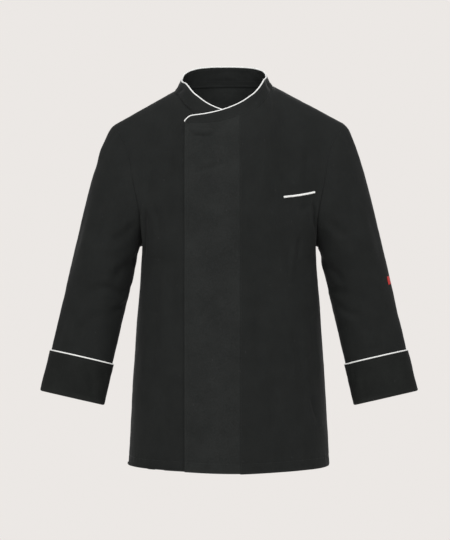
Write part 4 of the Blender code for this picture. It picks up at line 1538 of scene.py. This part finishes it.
@dataclass
class LeftFront(Panel):
    """The wearer's left front, with the piped mouth of its chest pocket and the bag behind."""

    settle: float = 0.0500
    neck_columns: int = 50
    shoulder_columns: int = 62
    pocket_from: tuple[float, float] = (0.1055, -0.2204)
    pocket_to: tuple[float, float] = (0.1670, -0.2099)
    pocket_sag: float = 0.0012
    pocket_radius: float = 0.0020
    pocket_stitch: float = 0.0046
    bag_bottom: float = 0.875  # rise of its lower edge
    bag_top: float = 0.25  # share of the way from the underarm to the top
    bag_sides: tuple[float, float] = (0.425, 0.88)  # shares of the form
    bag_gap: float = 0.0009
    creases: tuple = (
        Crease(((0.1370, -0.293), (0.1350, -0.320), (0.1335, -0.352)), 0.0055, -0.0032),
        Crease(((0.1230, -0.310), (0.1220, -0.350), (0.1210, -0.392)), 0.0060, 0.0022),
        Crease(((0.1670, -0.222), (0.1692, -0.252), (0.1672, -0.292)), 0.0052, -0.0056, fade_in=0.4),
        Crease(((0.1380, -0.250), (0.1470, -0.241), (0.1560, -0.246)), 0.0080, -0.0022),
        Crease(((0.1560, -0.400), (0.1640, -0.500), (0.1700, -0.600)), 0.0130, -0.0034),
        Crease(((0.1290, -0.430), (0.1380, -0.540), (0.1470, -0.640)), 0.0110, -0.0026),
        Crease(((0.1390, -0.545), (0.1430, -0.560), (0.1465, -0.578)), 0.0035, -0.0018),
        Crease(((0.1580, -0.606), (0.1650, -0.630), (0.1735, -0.662)), 0.0055, -0.0032, fade_in=0.25),
        Crease(((0.1720, -0.664), (0.1790, -0.668), (0.1860, -0.662)), 0.0040, 0.0022),
        Crease(((0.0550, -0.360), (0.0600, -0.470), (0.0520, -0.590)), 0.0150, -0.0020),
        Crease(((0.0820, -0.500), (0.0900, -0.610), (0.0840, -0.730)), 0.0140, -0.0024),
        Crease(((0.0700, -0.140), (0.0850, -0.200), (0.0800, -0.290)), 0.0140, -0.0016),
        Crease(((0.1600, -0.120), (0.1510, -0.160), (0.1500, -0.196)), 0.0080, -0.0016),
        Crease(((0.1010, -0.300), (0.1400, -0.384), (0.1700, -0.400)), 0.0070, -0.0012),
    )

    def risen(self, across: Floats) -> Floats:
        """How far the panel stands above the form, at a distance across."""
        return BAND_RISE * (1 - ease((across - BAND_SEAM) / self.settle))

    def build(self) -> tuple[Sewn, Floats]:
        """Makes the panel, its pocket mouth and bag.

        Returns:
            The panel and its neck edge.
        """
        neck = spread(self.neck_columns + 1, (0.0, 0.08, 3.0))[1:]
        past = self.past_neck(self.shoulder_columns)[1:]
        lines = self.body.front_lines(Side.LEFT, np.array([BAND_SEAM]), neck, past, *lines_up(100, 92))
        grid = self.body.raised(*lines, self.risen(self.body.front(*lines)[..., 0]))
        grid = smoothed(hem_hung(grid, HEM_DROP), len(neck), 26)
        edge = grid[-1, : len(neck) + 1]
        sides = (Edge.FIRST_COLUMN, Edge.LAST_COLUMN)
        on_shoulder = np.arange(grid.shape[1]) >= len(neck)
        grid = lapped(lapped(grid, *sides), Edge.LAST_ROW, chosen=on_shoulder)
        cloth = self.hemmed("front_left", grid, (0.0012, 0.050, 1.8, 1.7), 6.2, *sides, Edge.LAST_ROW)
        self.press_mouth(cloth)
        made = sewn(cloth, self.palette.twill, self.hem_wear(cloth))
        self.pocket(made)
        self.bag(made, *lines)
        return made, edge

    def mouth(self, count: int) -> Floats:
        """Places across and up along the pocket mouth."""
        t = np.linspace(0, 1, count)
        return np.stack([mix(self.pocket_from[0], self.pocket_to[0], t), self.mouth_height(t)], axis=-1)

    def mouth_height(self, along: Floats) -> Floats:
        """Height of the pocket mouth at a share of the way along it."""
        straight = mix(self.pocket_from[1], self.pocket_to[1], along)
        return straight - 4 * self.pocket_sag * along * (1 - along)

    def press_mouth(self, cloth: Cloth) -> None:
        """Lets the cloth sink a little along the pocket mouth."""
        start, end = self.pocket_from[0], self.pocket_to[0]
        along = np.clip((cloth.across_map - start) / (end - start), 0, 1)
        aside = np.maximum(start - cloth.across_map, cloth.across_map - end)
        near = ease(1 - aside / 0.006)
        below = cloth.height_map - self.mouth_height(along)
        cloth.relief += near * (0.0005 * bump_of(below - 0.005, 0.004) - 0.0006 * bump_of(below, 0.003))

    def pocket(self, panel: Sewn) -> None:
        """Makes the covered cord along the mouth and the stitches above and below it.

        Args:
            panel: the finished front.
        """
        seats = [panel.from_front(*spot) for spot in self.mouth(64)]
        path, out = (np.array(values) for values in zip(*seats))
        path = path + out * self.pocket_radius * 0.6
        piping("cord_pocket", path, out, self.pocket_radius, self.palette.white, "pocket_piping")
        stitches = Stitching("pocket")
        for drop in (self.pocket_stitch, -self.pocket_stitch):
            seats = [panel.from_front(across, height - drop) for across, height in self.mouth(64)]
            stitches.lines.append(tuple(np.array(values) for values in zip(*seats)))
        stitches.build(self.palette.thread)

    def bag(self, panel: Sewn, shares: Floats, rises: Floats) -> None:
        """Makes the pocket's bag, which lies against the front's inner face.

        Args:
            panel: the finished front.
            shares: of its grid.
            rises: of its grid.
        """
        low = np.abs(rises[:, 0] - self.bag_bottom).argmin()
        high = np.abs(rises[:, 0] - (1 + self.bag_top * (rises[-1, 0] - 1))).argmin()
        inner, outer = (np.abs(shares[0] - share).argmin() for share in self.bag_sides)
        spots = (slice(low, high + 1), slice(inner, outer + 1))
        depth = panel.cloth.relief[spots] - CLOTH - self.bag_gap
        place = self.body.front(shares[spots], rises[spots]) + panel.cloth.normals[spots] * depth[..., None]
        sewn(Cloth("pocket_bag", place, CLOTH), self.palette.twill)


@dataclass
class Band(Panel):
    """The doubled front band over the hidden studs, free along its edge on the wearer's right."""

    columns: int = 60
    creases: tuple = (
        Crease(
            ((-0.0810, -0.100), (-0.0600, -0.1012), (-0.0370, -0.102), (-0.0195, -0.0875)), 0.0034, -0.0024
        ),
        Crease(((-0.0800, -0.094), (-0.0500, -0.0945), (-0.0250, -0.092)), 0.0050, 0.0018),
        Crease(((-0.0714, -0.1760), (-0.0300, -0.1620), (0.0074, -0.1508)), 0.0056, -0.0024),
        Crease(((-0.0656, -0.4680), (-0.0400, -0.4340), (-0.0138, -0.4004)), 0.0070, -0.0026),
        Crease(((-0.0740, -0.3300), (-0.0700, -0.3290), (-0.0660, -0.3310)), 0.0030, -0.0012),
        Crease(((-0.0200, -0.5000), (-0.0260, -0.5800), (-0.0180, -0.7000)), 0.0110, -0.0012),
        Crease(((-0.0480, -0.2300), (-0.0300, -0.2800), (-0.0340, -0.3500)), 0.0110, -0.0010),
    )

    def build(self) -> tuple[Sewn, Floats]:
        """Makes the band, with the grooves for its stitches pressed in.

        Returns:
            It and its neck edge.
        """
        straight = mix(BAND_EDGE, BAND_SEAM, spread(self.columns, (0.0, 0.04, 3.0), (0.064, 0.03, 2.0)))
        none = np.zeros(0)
        shares, rises = self.body.front_lines(Side.LEFT, straight, none, none, *lines_up(110, 96))
        grid = hem_hung(self.body.raised(shares, rises, BAND_RISE), HEM_DROP)
        edge = grid[-1]
        cloth = Cloth("front_band", lapped(grid, Edge.LAST_COLUMN), DOUBLE_CLOTH)
        cloth.crease(*self.creases)
        for height in STUD_HEIGHTS:
            gap = np.hypot(cloth.across_map - STUD_ACROSS, cloth.height_map - height)
            lowest = height == STUD_HEIGHTS[-1]
            cloth.relief += bump_of(gap - 0.0062, 0.0020) * (0.0007 if lowest else 0.00022)
            cloth.relief -= (0.0007 if lowest else 0.0) * bump_of(gap, 0.0042)
        cloth.rumple(0.0006, 0.045, 2.2, 4.4)
        cloth.calm(Edge.LAST_COLUMN, Edge.LAST_ROW, reach=0.008)
        cloth.rumple(0.00022, 0.009, 1.0, 7.7)
        sewn_edges(cloth, Edge.LAST_COLUMN, Edge.LAST_ROW)
        cloth.press(Edge.FIRST_COLUMN, BAND_TOPSTITCH, -0.00035, 0.0013)
        cloth.press(Edge.FIRST_COLUMN, 0.0, -0.0004, 0.0012)
        cloth.pucker(Edge.FIRST_COLUMN, BAND_TOPSTITCH, 0.00018, 0.011)
        cloth.press(Edge.FIRST_ROW, HEM_TURN, -0.0004, 0.0014)
        cloth.pucker(Edge.FIRST_ROW, HEM_TURN, 0.0002, 0.012)
        wear = 0.7 * bump_of(cloth.from_edge(Edge.FIRST_COLUMN), 0.0022) + self.hem_wear(cloth)
        # The band's lighter finish is painted light where it faces the lamps.
        return sewn(cloth, self.palette.band, wear), edge


@dataclass
class Sleeve:
    """A long sleeve, the cuff turned back over its end, and the cuff's piping."""

    side: Side
    form: SleeveForm
    palette: Palette
    columns: int = 112
    cap_rows: int = 66
    arm_rows: int = 100
    cuff_height: float = 0.0800
    cuff_inside: float = 0.0260
    cuff_clearance: float = 0.0007
    cuff_rows: int = 44
    cuff_topstitch: float = 0.0052
    scale: float = 0.00105  # metres round the arm for one degree
    label_turns: tuple[float, float] = (152.0, 165.0)
    label_heights: tuple[float, float] = (-0.4040, -0.3880)
    label_wall: float = 0.0010

    @property
    def creases(self) -> tuple:
        """The sleeve's creases, by turn and height."""
        if self.side is Side.RIGHT:
            return (
                Crease(((20, -0.300), (38, -0.352), (70, -0.392)), 0.0090, -0.0036),
                Crease(((10, -0.392), (36, -0.404), (76, -0.398), (110, -0.410)), 0.0085, -0.0038),
                Crease(((-10, -0.420), (24, -0.436), (58, -0.446)), 0.0070, -0.0036),
                Crease(((330, -0.360), (352, -0.396), (364, -0.402)), 0.0080, -0.0026),
                Crease(((66, -0.440), (96, -0.476), (100, -0.530)), 0.0120, -0.0030),
                Crease(((110, -0.180), (124, -0.250), (118, -0.330)), 0.0150, -0.0026),
                Crease(((146, -0.210), (158, -0.300), (150, -0.390)), 0.0170, -0.0024),
                Crease(((40, -0.260), (62, -0.296), (92, -0.310)), 0.0090, -0.0026),
                Crease(((130, -0.430), (146, -0.500), (138, -0.590)), 0.0120, -0.0022),
                Crease(((200, -0.250), (214, -0.340), (226, -0.430)), 0.0160, -0.0030),
                Crease(((238, -0.350), (262, -0.396), (300, -0.404)), 0.0090, -0.0036),
                Crease(((250, -0.470), (262, -0.540), (246, -0.620)), 0.0110, -0.0026),
                Crease(((176, -0.100), (170, -0.130), (150, -0.150)), 0.0110, 0.0018),
                Crease(((-15, -0.299), (0, -0.303), (15, -0.299)), 0.0150, 0.0080, shoulder=0.0),
            )
        return (
            Crease(((16, -0.310), (36, -0.358), (66, -0.396)), 0.0085, -0.0034),
            Crease(((6, -0.396), (34, -0.402), (70, -0.408)), 0.0085, -0.0036),
            Crease(((20, -0.424), (52, -0.444), (84, -0.452)), 0.0075, -0.0032),
            Crease(((322, -0.350), (346, -0.390), (362, -0.398)), 0.0080, -0.0026),
            Crease(((74, -0.450), (88, -0.500), (84, -0.556)), 0.0110, -0.0030),
            Crease(((96, -0.170), (112, -0.250), (104, -0.340)), 0.0150, -0.0024),
            Crease(((134, -0.200), (146, -0.290), (140, -0.372)), 0.0160, -0.0024),
            Crease(((48, -0.250), (70, -0.286), (98, -0.296)), 0.0090, -0.0026),
            Crease(((126, -0.440), (134, -0.500), (150, -0.570)), 0.0120, -0.0026),
            Crease(((206, -0.240), (222, -0.330), (216, -0.440)), 0.0160, -0.0030),
            Crease(((240, -0.340), (270, -0.388), (304, -0.398)), 0.0090, -0.0034),
            Crease(((236, -0.460), (250, -0.530), (258, -0.610)), 0.0110, -0.0026),
            Crease(((-15, -0.300), (0, -0.304), (15, -0.300)), 0.0150, 0.0084, shoulder=0.0),
        )

    @property
    def cuff_creases(self) -> tuple:
        """The cuff's soft folds, by turn and distance up from its fold."""
        lean = 6 if self.side is Side.RIGHT else -4
        return (
            Crease(((46, 0.012), (56 + lean, 0.040), (74, 0.072)), 0.0070, -0.0016),
            Crease(((78, 0.004), (84, 0.030), (98 + lean, 0.056)), 0.0080, -0.0014),
            Crease(((128, 0.020), (122 + lean, 0.048), (126, 0.076)), 0.0090, -0.0012),
            Crease(((20, 0.030), (34, 0.050), (40, 0.074)), 0.0060, -0.0014),
            Crease(((216, 0.010), (228, 0.040), (224 + lean, 0.070)), 0.0080, -0.0014),
            Crease(((262, 0.020), (272 + lean, 0.046), (290, 0.064)), 0.0080, -0.0014),
        )

    @property
    def name(self) -> str:
        """The side, as the pieces' names give it."""
        return self.side.value

    def oriented(self, grid: Floats) -> Floats:
        """A grid with rows from the armhole down, turned so that it faces outwards."""
        return grid[::-1] if self.side is Side.LEFT else grid[::-1, ::-1]

    def build(self) -> None:
        """Makes the sleeve, its cuff and piping, and the left one's tab."""
        turns = np.linspace(0, 360, self.columns)
        cuff = self.cuff(turns)
        shares = spread(self.cap_rows, (0.0, 0.03, 4.0))[:-1]
        cap = self.form.cap(*np.broadcast_arrays(shares[:, None], turns))
        last = float(self.form.height_up(self.form.end_above_fold))
        heights = mix(self.form.rows[0].height, last, spread(self.arm_rows))
        arm = self.form.ring(*np.broadcast_arrays(heights[:, None], turns))
        grid = self.oriented(np.concatenate([cap, arm]))
        turn_map = self.oriented(np.broadcast_to(turns, grid.shape[:2]))
        cloth = Cloth("sleeve_" + self.name, grid, CLOTH, turn_map, grid[..., 2], self.scale, tube=True)
        cloth.crease(*self.creases)
        seed = 2.2 if self.side is Side.LEFT else 9.6
        cloth.rumple(0.0011, 0.050, 1.6, seed)
        cloth.calm(Edge.LAST_ROW, reach=0.016)
        self.fullness(cloth)
        cloth.press(Edge.LAST_ROW, 0.0, -0.0004, 0.0014)
        cloth.rumple(*FINE_RUMPLE, seed + 4)
        self.follow(cloth, cuff)
        wear = 0.5 * bump_of(turn_map - 200, 30) * bump_of(cloth.height_map + 0.400, 0.060)
        sleeve = sewn(cloth, self.palette.twill, wear)
        # The cuff takes the darker finish: painted shade.
        sewn(cuff, self.palette.reverse, self.cuff_wear(cuff))
        self.cuff_trim(cuff)
        if self.side is Side.LEFT:
            self.label(sleeve)

    def fullness(self, cloth: Cloth) -> None:
        """Eases the sleeve's head into the armhole with small, uneven gathers."""
        turn = np.radians(cloth.across_map)
        waves = np.sin(13 * turn + 0.8 * np.sin(3 * turn)) + 0.5 * np.sin(23 * turn + 1.0)
        at_head = ease((np.cos(turn) * -1 + 0.35) / 1.0)
        cloth.relief += 0.00055 * waves * at_head * bump_of(cloth.from_edge(Edge.LAST_ROW) - 0.014, 0.012)

    def follow(self, cloth: Cloth, cuff: Cloth) -> None:
        """Gives the sleeve the cuff's relief where the cuff covers it."""
        start = self.form.end_above_fold
        covered = 1 - ease((cloth.up - self.cuff_height + 0.002) / 0.016)
        under = np.array([
            np.interp(cloth.up[:, k] + start, cuff.up[:, k] + cuff.turn_radius, cuff.relief[:, k])
            for k in range(cloth.up.shape[1])
        ]).T
        cloth.relief = mix(cloth.relief, under - 0.0001, covered)

    def cuff(self, turns: Floats) -> Cloth:
        """The cuff in the making, from its fold up to its piped edge."""
        outer = self.cuff_clearance + DOUBLE_CLOTH / 2
        inner = -0.0016 - outer
        radius = (outer - inner) / 2
        ups = mix(radius, self.cuff_height, spread(self.cuff_rows, (0.0, 0.03, 2.0), (1.0, 0.03, 2.0)))
        heights = self.form.height_up(ups)[::-1]
        rings = self.form.ring(*np.broadcast_arrays(heights[:, None], turns), outer)
        grid = self.oriented(rings)
        turn_map = self.oriented(np.broadcast_to(turns, grid.shape[:2]))
        height_map = ups[:, None] * np.ones(len(turns))
        cloth = Cloth(
            "cuff_" + self.name, grid, DOUBLE_CLOTH, turn_map, height_map, self.scale,
            tube=True, centred=True, turn=self.cuff_inside, turn_radius=radius,
        )
        cloth.crease(*self.cuff_creases)
        seed = 6.1 if self.side is Side.LEFT else 3.7
        cloth.rumple(0.0008, 0.034, 1.2, seed)
        cloth.rumple(0.00024, 0.010, 1.0, seed + 2)
        cloth.press(Edge.LAST_ROW, self.cuff_topstitch, -0.0003, 0.0014)
        cloth.pucker(Edge.LAST_ROW, self.cuff_topstitch, 0.00016, 0.011)
        return cloth

    def cuff_wear(self, cuff: Cloth) -> Floats:
        """Where the cuff is rubbed: along its fold, most at the outer side."""
        return bump_of(cuff.from_edge(Edge.FIRST_ROW), 0.005) * (0.7 + 0.3 * np.sin(cuff.across_map / 29))

    def cuff_trim(self, cuff: Cloth) -> None:
        """Makes the cord along the cuff's upper edge and the cuff's stitches."""
        edge = cuff.placed()[-1, :-1]
        upwards = unit(edge - cuff.placed()[-2, :-1])
        out = cuff.normals[-1, :-1]
        path = edge + upwards * 0.8 * PIPING_RADIUS
        name = "cuff_piping_" + self.name
        piping("cord_" + name, path, out, PIPING_RADIUS, self.palette.white, name, closed=True)
        stitches = Stitching("cuff_" + self.name)
        stitches.along(cuff, Edge.LAST_ROW, self.cuff_topstitch, skipped=(0, 0))
        stitches.build(self.palette.thread)

    def label(self, sleeve: Sewn) -> None:
        """Makes the plain woven tab that is sewn flat on the sleeve.

        Args:
            sleeve: the sleeve to seat it on.
        """
        turns = np.linspace(*self.label_turns, 22)
        heights = np.linspace(*self.label_heights, 30)
        grid = self.form.ring(heights[:, None], turns[None, :])
        for row in grid:
            for column, spot in enumerate(row):
                seat, normal = sleeve.seat(spot)
                row[column] = seat + normal * (self.label_wall + 0.0001)
        cloth = Cloth("tab", grid, self.label_wall)
        rim = np.minimum.reduce([cloth.from_edge(edge) for edge in Edge])
        cloth.relief += 0.00025 * ease(rim / 0.0022) - 0.0002
        sewn(cloth, self.palette.red, 0.5 * bump_of(rim, 0.0008), "sleeve_label")
        stitches = Stitching("tab", length=0.0018, gap=0.0006, half_width=0.00016)
        for edge in Edge:
            stitches.along(cloth, edge, 0.0011)
        stitches.build(self.palette.red)


@dataclass
class Collar:
    """The stand collar with its rounded front end, and the cord along its free edge."""

    form: CollarForm
    palette: Palette
    columns: int = 230
    end_columns: int = 22
    rows: int = 26
    topstitch: float = 0.0045
    creases: tuple = (
        Crease(((62, 0.004), (70, 0.018), (78, 0.030)), 0.0065, -0.0018),
        Crease(((84, 0.002), (92, 0.016), (104, 0.026)), 0.0060, -0.0020),
        Crease(((24, 0.006), (34, 0.016), (48, 0.028)), 0.0080, -0.0012),
        Crease(((112, 0.008), (122, 0.020), (126, 0.034)), 0.0080, -0.0012),
        Crease(((262, 0.002), (270, 0.014), (280, 0.026)), 0.0060, -0.0020),
        Crease(((286, 0.004), (296, 0.018), (304, 0.030)), 0.0070, -0.0016),
        Crease(((232, 0.010), (240, 0.022), (238, 0.034)), 0.0080, -0.0012),
        Crease(((318, 0.006), (326, 0.016), (334, 0.026)), 0.0080, -0.0010),
        Crease(((160, 0.016), (180, 0.019), (204, 0.015)), 0.0060, -0.0007),
    )

    def build(self, edges: list[Floats]) -> None:
        """Makes the collar.

        Args:
            edges: the edges that it is sewn to, from the band's free edge round the back.
        """
        shares = spread(self.rows, (0.0, 0.06, 2.0), (1.0, 0.10, 2.0))
        grid, stations = self.form.grid(edges, self.columns, self.end_columns, shares)
        angle_map = np.broadcast_to(stations, grid.shape[:2])
        height_map = 0.034 * shares[:, None] * np.ones(len(stations))
        cloth = Cloth("collar", grid, DOUBLE_CLOTH, angle_map, height_map, map_scale=0.0018)
        cloth.crease(*self.creases)
        cloth.rumple(0.0006, 0.030, 0.8, 8.8)
        cloth.calm(Edge.FIRST_ROW, reach=0.007)
        cloth.calm(Edge.LAST_ROW, reach=0.014)
        cloth.rumple(0.00022, 0.008, 0.9, 1.1)
        cloth.press(Edge.FIRST_ROW, NECK_LAP, -0.0003, 0.0014)
        cloth.press(Edge.LAST_ROW, self.topstitch, -0.00028, 0.0011)
        cloth.pucker(Edge.LAST_ROW, self.topstitch, 0.00014, 0.009)
        wear = 0.4 * bump_of(cloth.from_edge(Edge.LAST_ROW), 0.003)
        sewn(cloth, self.palette.twill, wear)
        edge, below = cloth.placed()[-1], cloth.placed()[-2]
        along = unit(np.gradient(edge, axis=0))
        up = edge - below
        up = unit(up - along * np.sum(up * along, axis=-1, keepdims=True))
        inwards = unit(np.cross(up, along))
        path = edge + up * 0.8 * PIPING_RADIUS + inwards * DOUBLE_CLOTH / 2
        piping("cord_collar", path, -inwards, PIPING_RADIUS, self.palette.white, "collar_piping")
        stitches = Stitching("collar")
        for inside in (False, True):
            stitches.along(cloth, Edge.LAST_ROW, self.topstitch, (14, 3), inside)
            stitches.along(cloth, Edge.FIRST_ROW, NECK_LAP + 0.0020, (3, 3), inside)
        stitches.along(cloth, Edge.FIRST_ROW, NECK_LAP + 0.0110, (70, 40), inside=True)
        stitches.build(self.palette.thread)


@dataclass
class Studs:
    """The hidden press studs, each pair closed."""

    palette: Palette
    radius: float = 0.0060
    thickness: float = 0.0012
    clearance: float = 0.0010
    profile: tuple = (  # shares of the radius and of the thickness
        (0.0, 0.34), (0.30, 0.40), (0.52, 0.36), (0.60, 0.10), (0.78, 0.14), (0.92, 0.30), (1.0, 0.08)
    )

    def build(self, underlap: Sewn) -> None:
        """Makes every stud on the underlap.

        Args:
            underlap: the right front.
        """
        for number, height in enumerate(STUD_HEIGHTS, 1):
            seat, normal = underlap.from_front(STUD_ACROSS, height)
            self.stud(number, Vector(seat + normal * self.clearance), Vector(normal))

    def stud(self, number: int, centre: Vector, normal: Vector) -> None:
        """Makes one stud.

        Args:
            number: which, from the top.
            centre: its middle.
            normal: its axis.
        """
        outline = [(share * self.radius, rise * self.thickness) for share, rise in self.profile]
        outline += [(self.radius, -0.08 * self.thickness)]
        outline += [(share * self.radius, -rise * self.thickness) for share, rise in self.profile[::-1]]
        bm = bmesh.new()
        ring = [bm.verts.new((reach, 0.0, height)) for reach, height in outline]
        edges = [bm.edges.new(pair) for pair in zip(ring, ring[1:])]
        bmesh.ops.spin(
            bm, geom=ring + edges, cent=(0, 0, 0), axis=(0, 0, 1), angle=2 * math.pi, steps=40, use_merge=True
        )
        cleaned(bm)
        turn = normal.to_track_quat("Z", "Y").to_matrix().to_4x4()
        bmesh.ops.transform(bm, matrix=Matrix.Translation(centre) @ turn, verts=bm.verts)
        name = f"press_{number}"
        shown(name, mesh_of(bm, name), self.palette.metal, f"stud_{number}")


# ---------------------------------------------------------------- the jacket
@dataclass
class Jacket:
    """The whole garment."""

    body: BodyForm = field(default_factory=BodyForm)
    palette: Palette = field(default_factory=Palette)
    neck_tape: float = 0.0105  # from the back's neck seam to the tape's stitches inside

    def build(self) -> None:
        """Makes every piece and logs each one's faces."""
        back, back_edge = Back(self.body, self.palette).build()
        right, right_edge = RightFront(self.body, self.palette).build()
        left, left_edge = LeftFront(self.body, self.palette).build()
        band, band_edge = Band(self.body, self.palette).build()
        edges = [band_edge, left_edge[1:], back_edge[1:], right_edge[1:]]
        Collar(CollarForm(self.body), self.palette).build(edges)
        for side in Side:
            Sleeve(side, SleeveForm(side, self.body), self.palette).build()
        Studs(self.palette).build(right)
        self.stitch_body(back, right, left, band)

    def stitch_body(self, back: Sewn, right: Sewn, left: Sewn, band: Sewn) -> None:
        """Sews the body's hems, seams and topstitched edges.

        Args:
            back: the back panel.
            right: the right front.
            left: the left front.
            band: the front band.
        """
        hems, seams, edges = Stitching("hem"), Stitching("seams"), Stitching("edges")
        for panel in (back, right, left, band):
            hems.along(panel.cloth, Edge.FIRST_ROW, HEM_STITCH)
        for panel, sides in (
            (back, (Edge.FIRST_COLUMN, Edge.LAST_COLUMN)),
            (right, (Edge.FIRST_COLUMN,)),
            (left, (Edge.LAST_COLUMN, Edge.FIRST_COLUMN)),
            (back, (Edge.LAST_ROW,)),
        ):
            for side in sides:
                seams.along(panel.cloth, side, STITCH_FROM_SEAM)
        edges.along(band.cloth, Edge.FIRST_COLUMN, BAND_TOPSTITCH, (2, 4))
        edges.along(back.cloth, Edge.LAST_ROW, self.neck_tape, (38, 38), inside=True)
        for stitching in (hems, seams, edges):
            stitching.build(self.palette.thread)


# ---------------------------------------------------------------- studio
@dataclass(frozen=True)
class Studio:
    """The camera, a pale floor and soft light."""

    camera_at: tuple[float, float, float] = (-0.008, -3.2, -0.362)
    lens: float = 106.67
    ground: tuple[float, float, float] = (0.838, 0.807, 0.783)
    fill: float = 0.40
    floor_height: float = -1.75
    floor_radius: float = 4.0
    softboxes: tuple = (  # name, place, side and watts
        ("key", (-1.2, -3.2, 1.0), 2.0, 52.0),
        ("front", (1.2, -3.3, 0.3), 2.0, 30.0),
        ("top", (0.1, -1.2, 2.4), 1.4, 24.0),
        ("behind_left", (0.8, 3.1, 1.0), 1.8, 40.0),
        ("behind_right", (-0.8, 3.2, 0.3), 1.8, 26.0),
    )

    def build(self) -> None:
        """Sets the studio up."""
        self.camera()
        self.world()
        self.floor()
        for light in self.softboxes:
            self.softbox(*light)
        bpy.context.scene.view_settings.view_transform = "Standard"

    def camera(self) -> None:
        """Adds the camera, level and square to the front."""
        data = bpy.data.cameras.new("camera")
        data.sensor_fit = "VERTICAL"
        data.sensor_height = 36.0
        data.lens = self.lens
        camera = linked("camera", data)
        camera.location = self.camera_at
        camera.rotation_euler = (math.pi / 2, 0, 0)
        bpy.context.scene.camera = camera

    def world(self) -> None:
        """A pale ground behind the jacket, and an even fill of light."""
        world = bpy.data.worlds.new("studio")
        world.use_nodes = True
        bpy.context.scene.world = world
        tree = world.node_tree
        graph = Graph(tree)
        seen = graph.add("LightPath", {}).outputs["Is Camera Ray"]
        light = graph.add("Background", {"Color": (1.0, 1.0, 1.0, 1.0), "Strength": self.fill})
        ground = graph.add("Background", {"Color": (*self.ground, 1.0), "Strength": 1.0})
        both = graph.add("MixShader", {0: seen, 1: light.outputs[0], 2: ground.outputs[0]})
        tree.links.new(both.outputs[0], tree.nodes["World Output"].inputs[0])

    def floor(self) -> None:
        """Adds the floor, a plain pale disc."""
        bm = bmesh.new()
        place = Matrix.Translation((0, 0, self.floor_height))
        bmesh.ops.create_circle(bm, cap_ends=True, radius=self.floor_radius, segments=96, matrix=place)
        mesh = mesh_of(bm, "floor")
        material, _, shader = new_material("floor")
        shader.inputs["Base Color"].default_value = (0.80, 0.78, 0.76, 1.0)
        shader.inputs["Roughness"].default_value = 0.9
        mesh.materials.append(material)
        linked("floor", mesh)

    def softbox(self, name: str, at: tuple[float, float, float], size: float, watts: float) -> None:
        """Adds a soft light that faces the jacket.

        Args:
            name: of the light.
            at: its place.
            size: its side.
            watts: its power.
        """
        data = bpy.data.lights.new(name, "AREA")
        data.size = size
        data.energy = watts
        light = linked(name, data)
        light.location = at
        towards = Vector((0, 0, -0.35)) - Vector(at)
        light.rotation_euler = towards.to_track_quat("-Z", "Y").to_euler()


def main() -> None:
    """Makes the jacket in its studio."""
    logging.basicConfig(level=logging.INFO, format="%(name)s: %(message)s")
    Jacket().build()
    Studio().build()


if __name__ == "__main__":
    main()
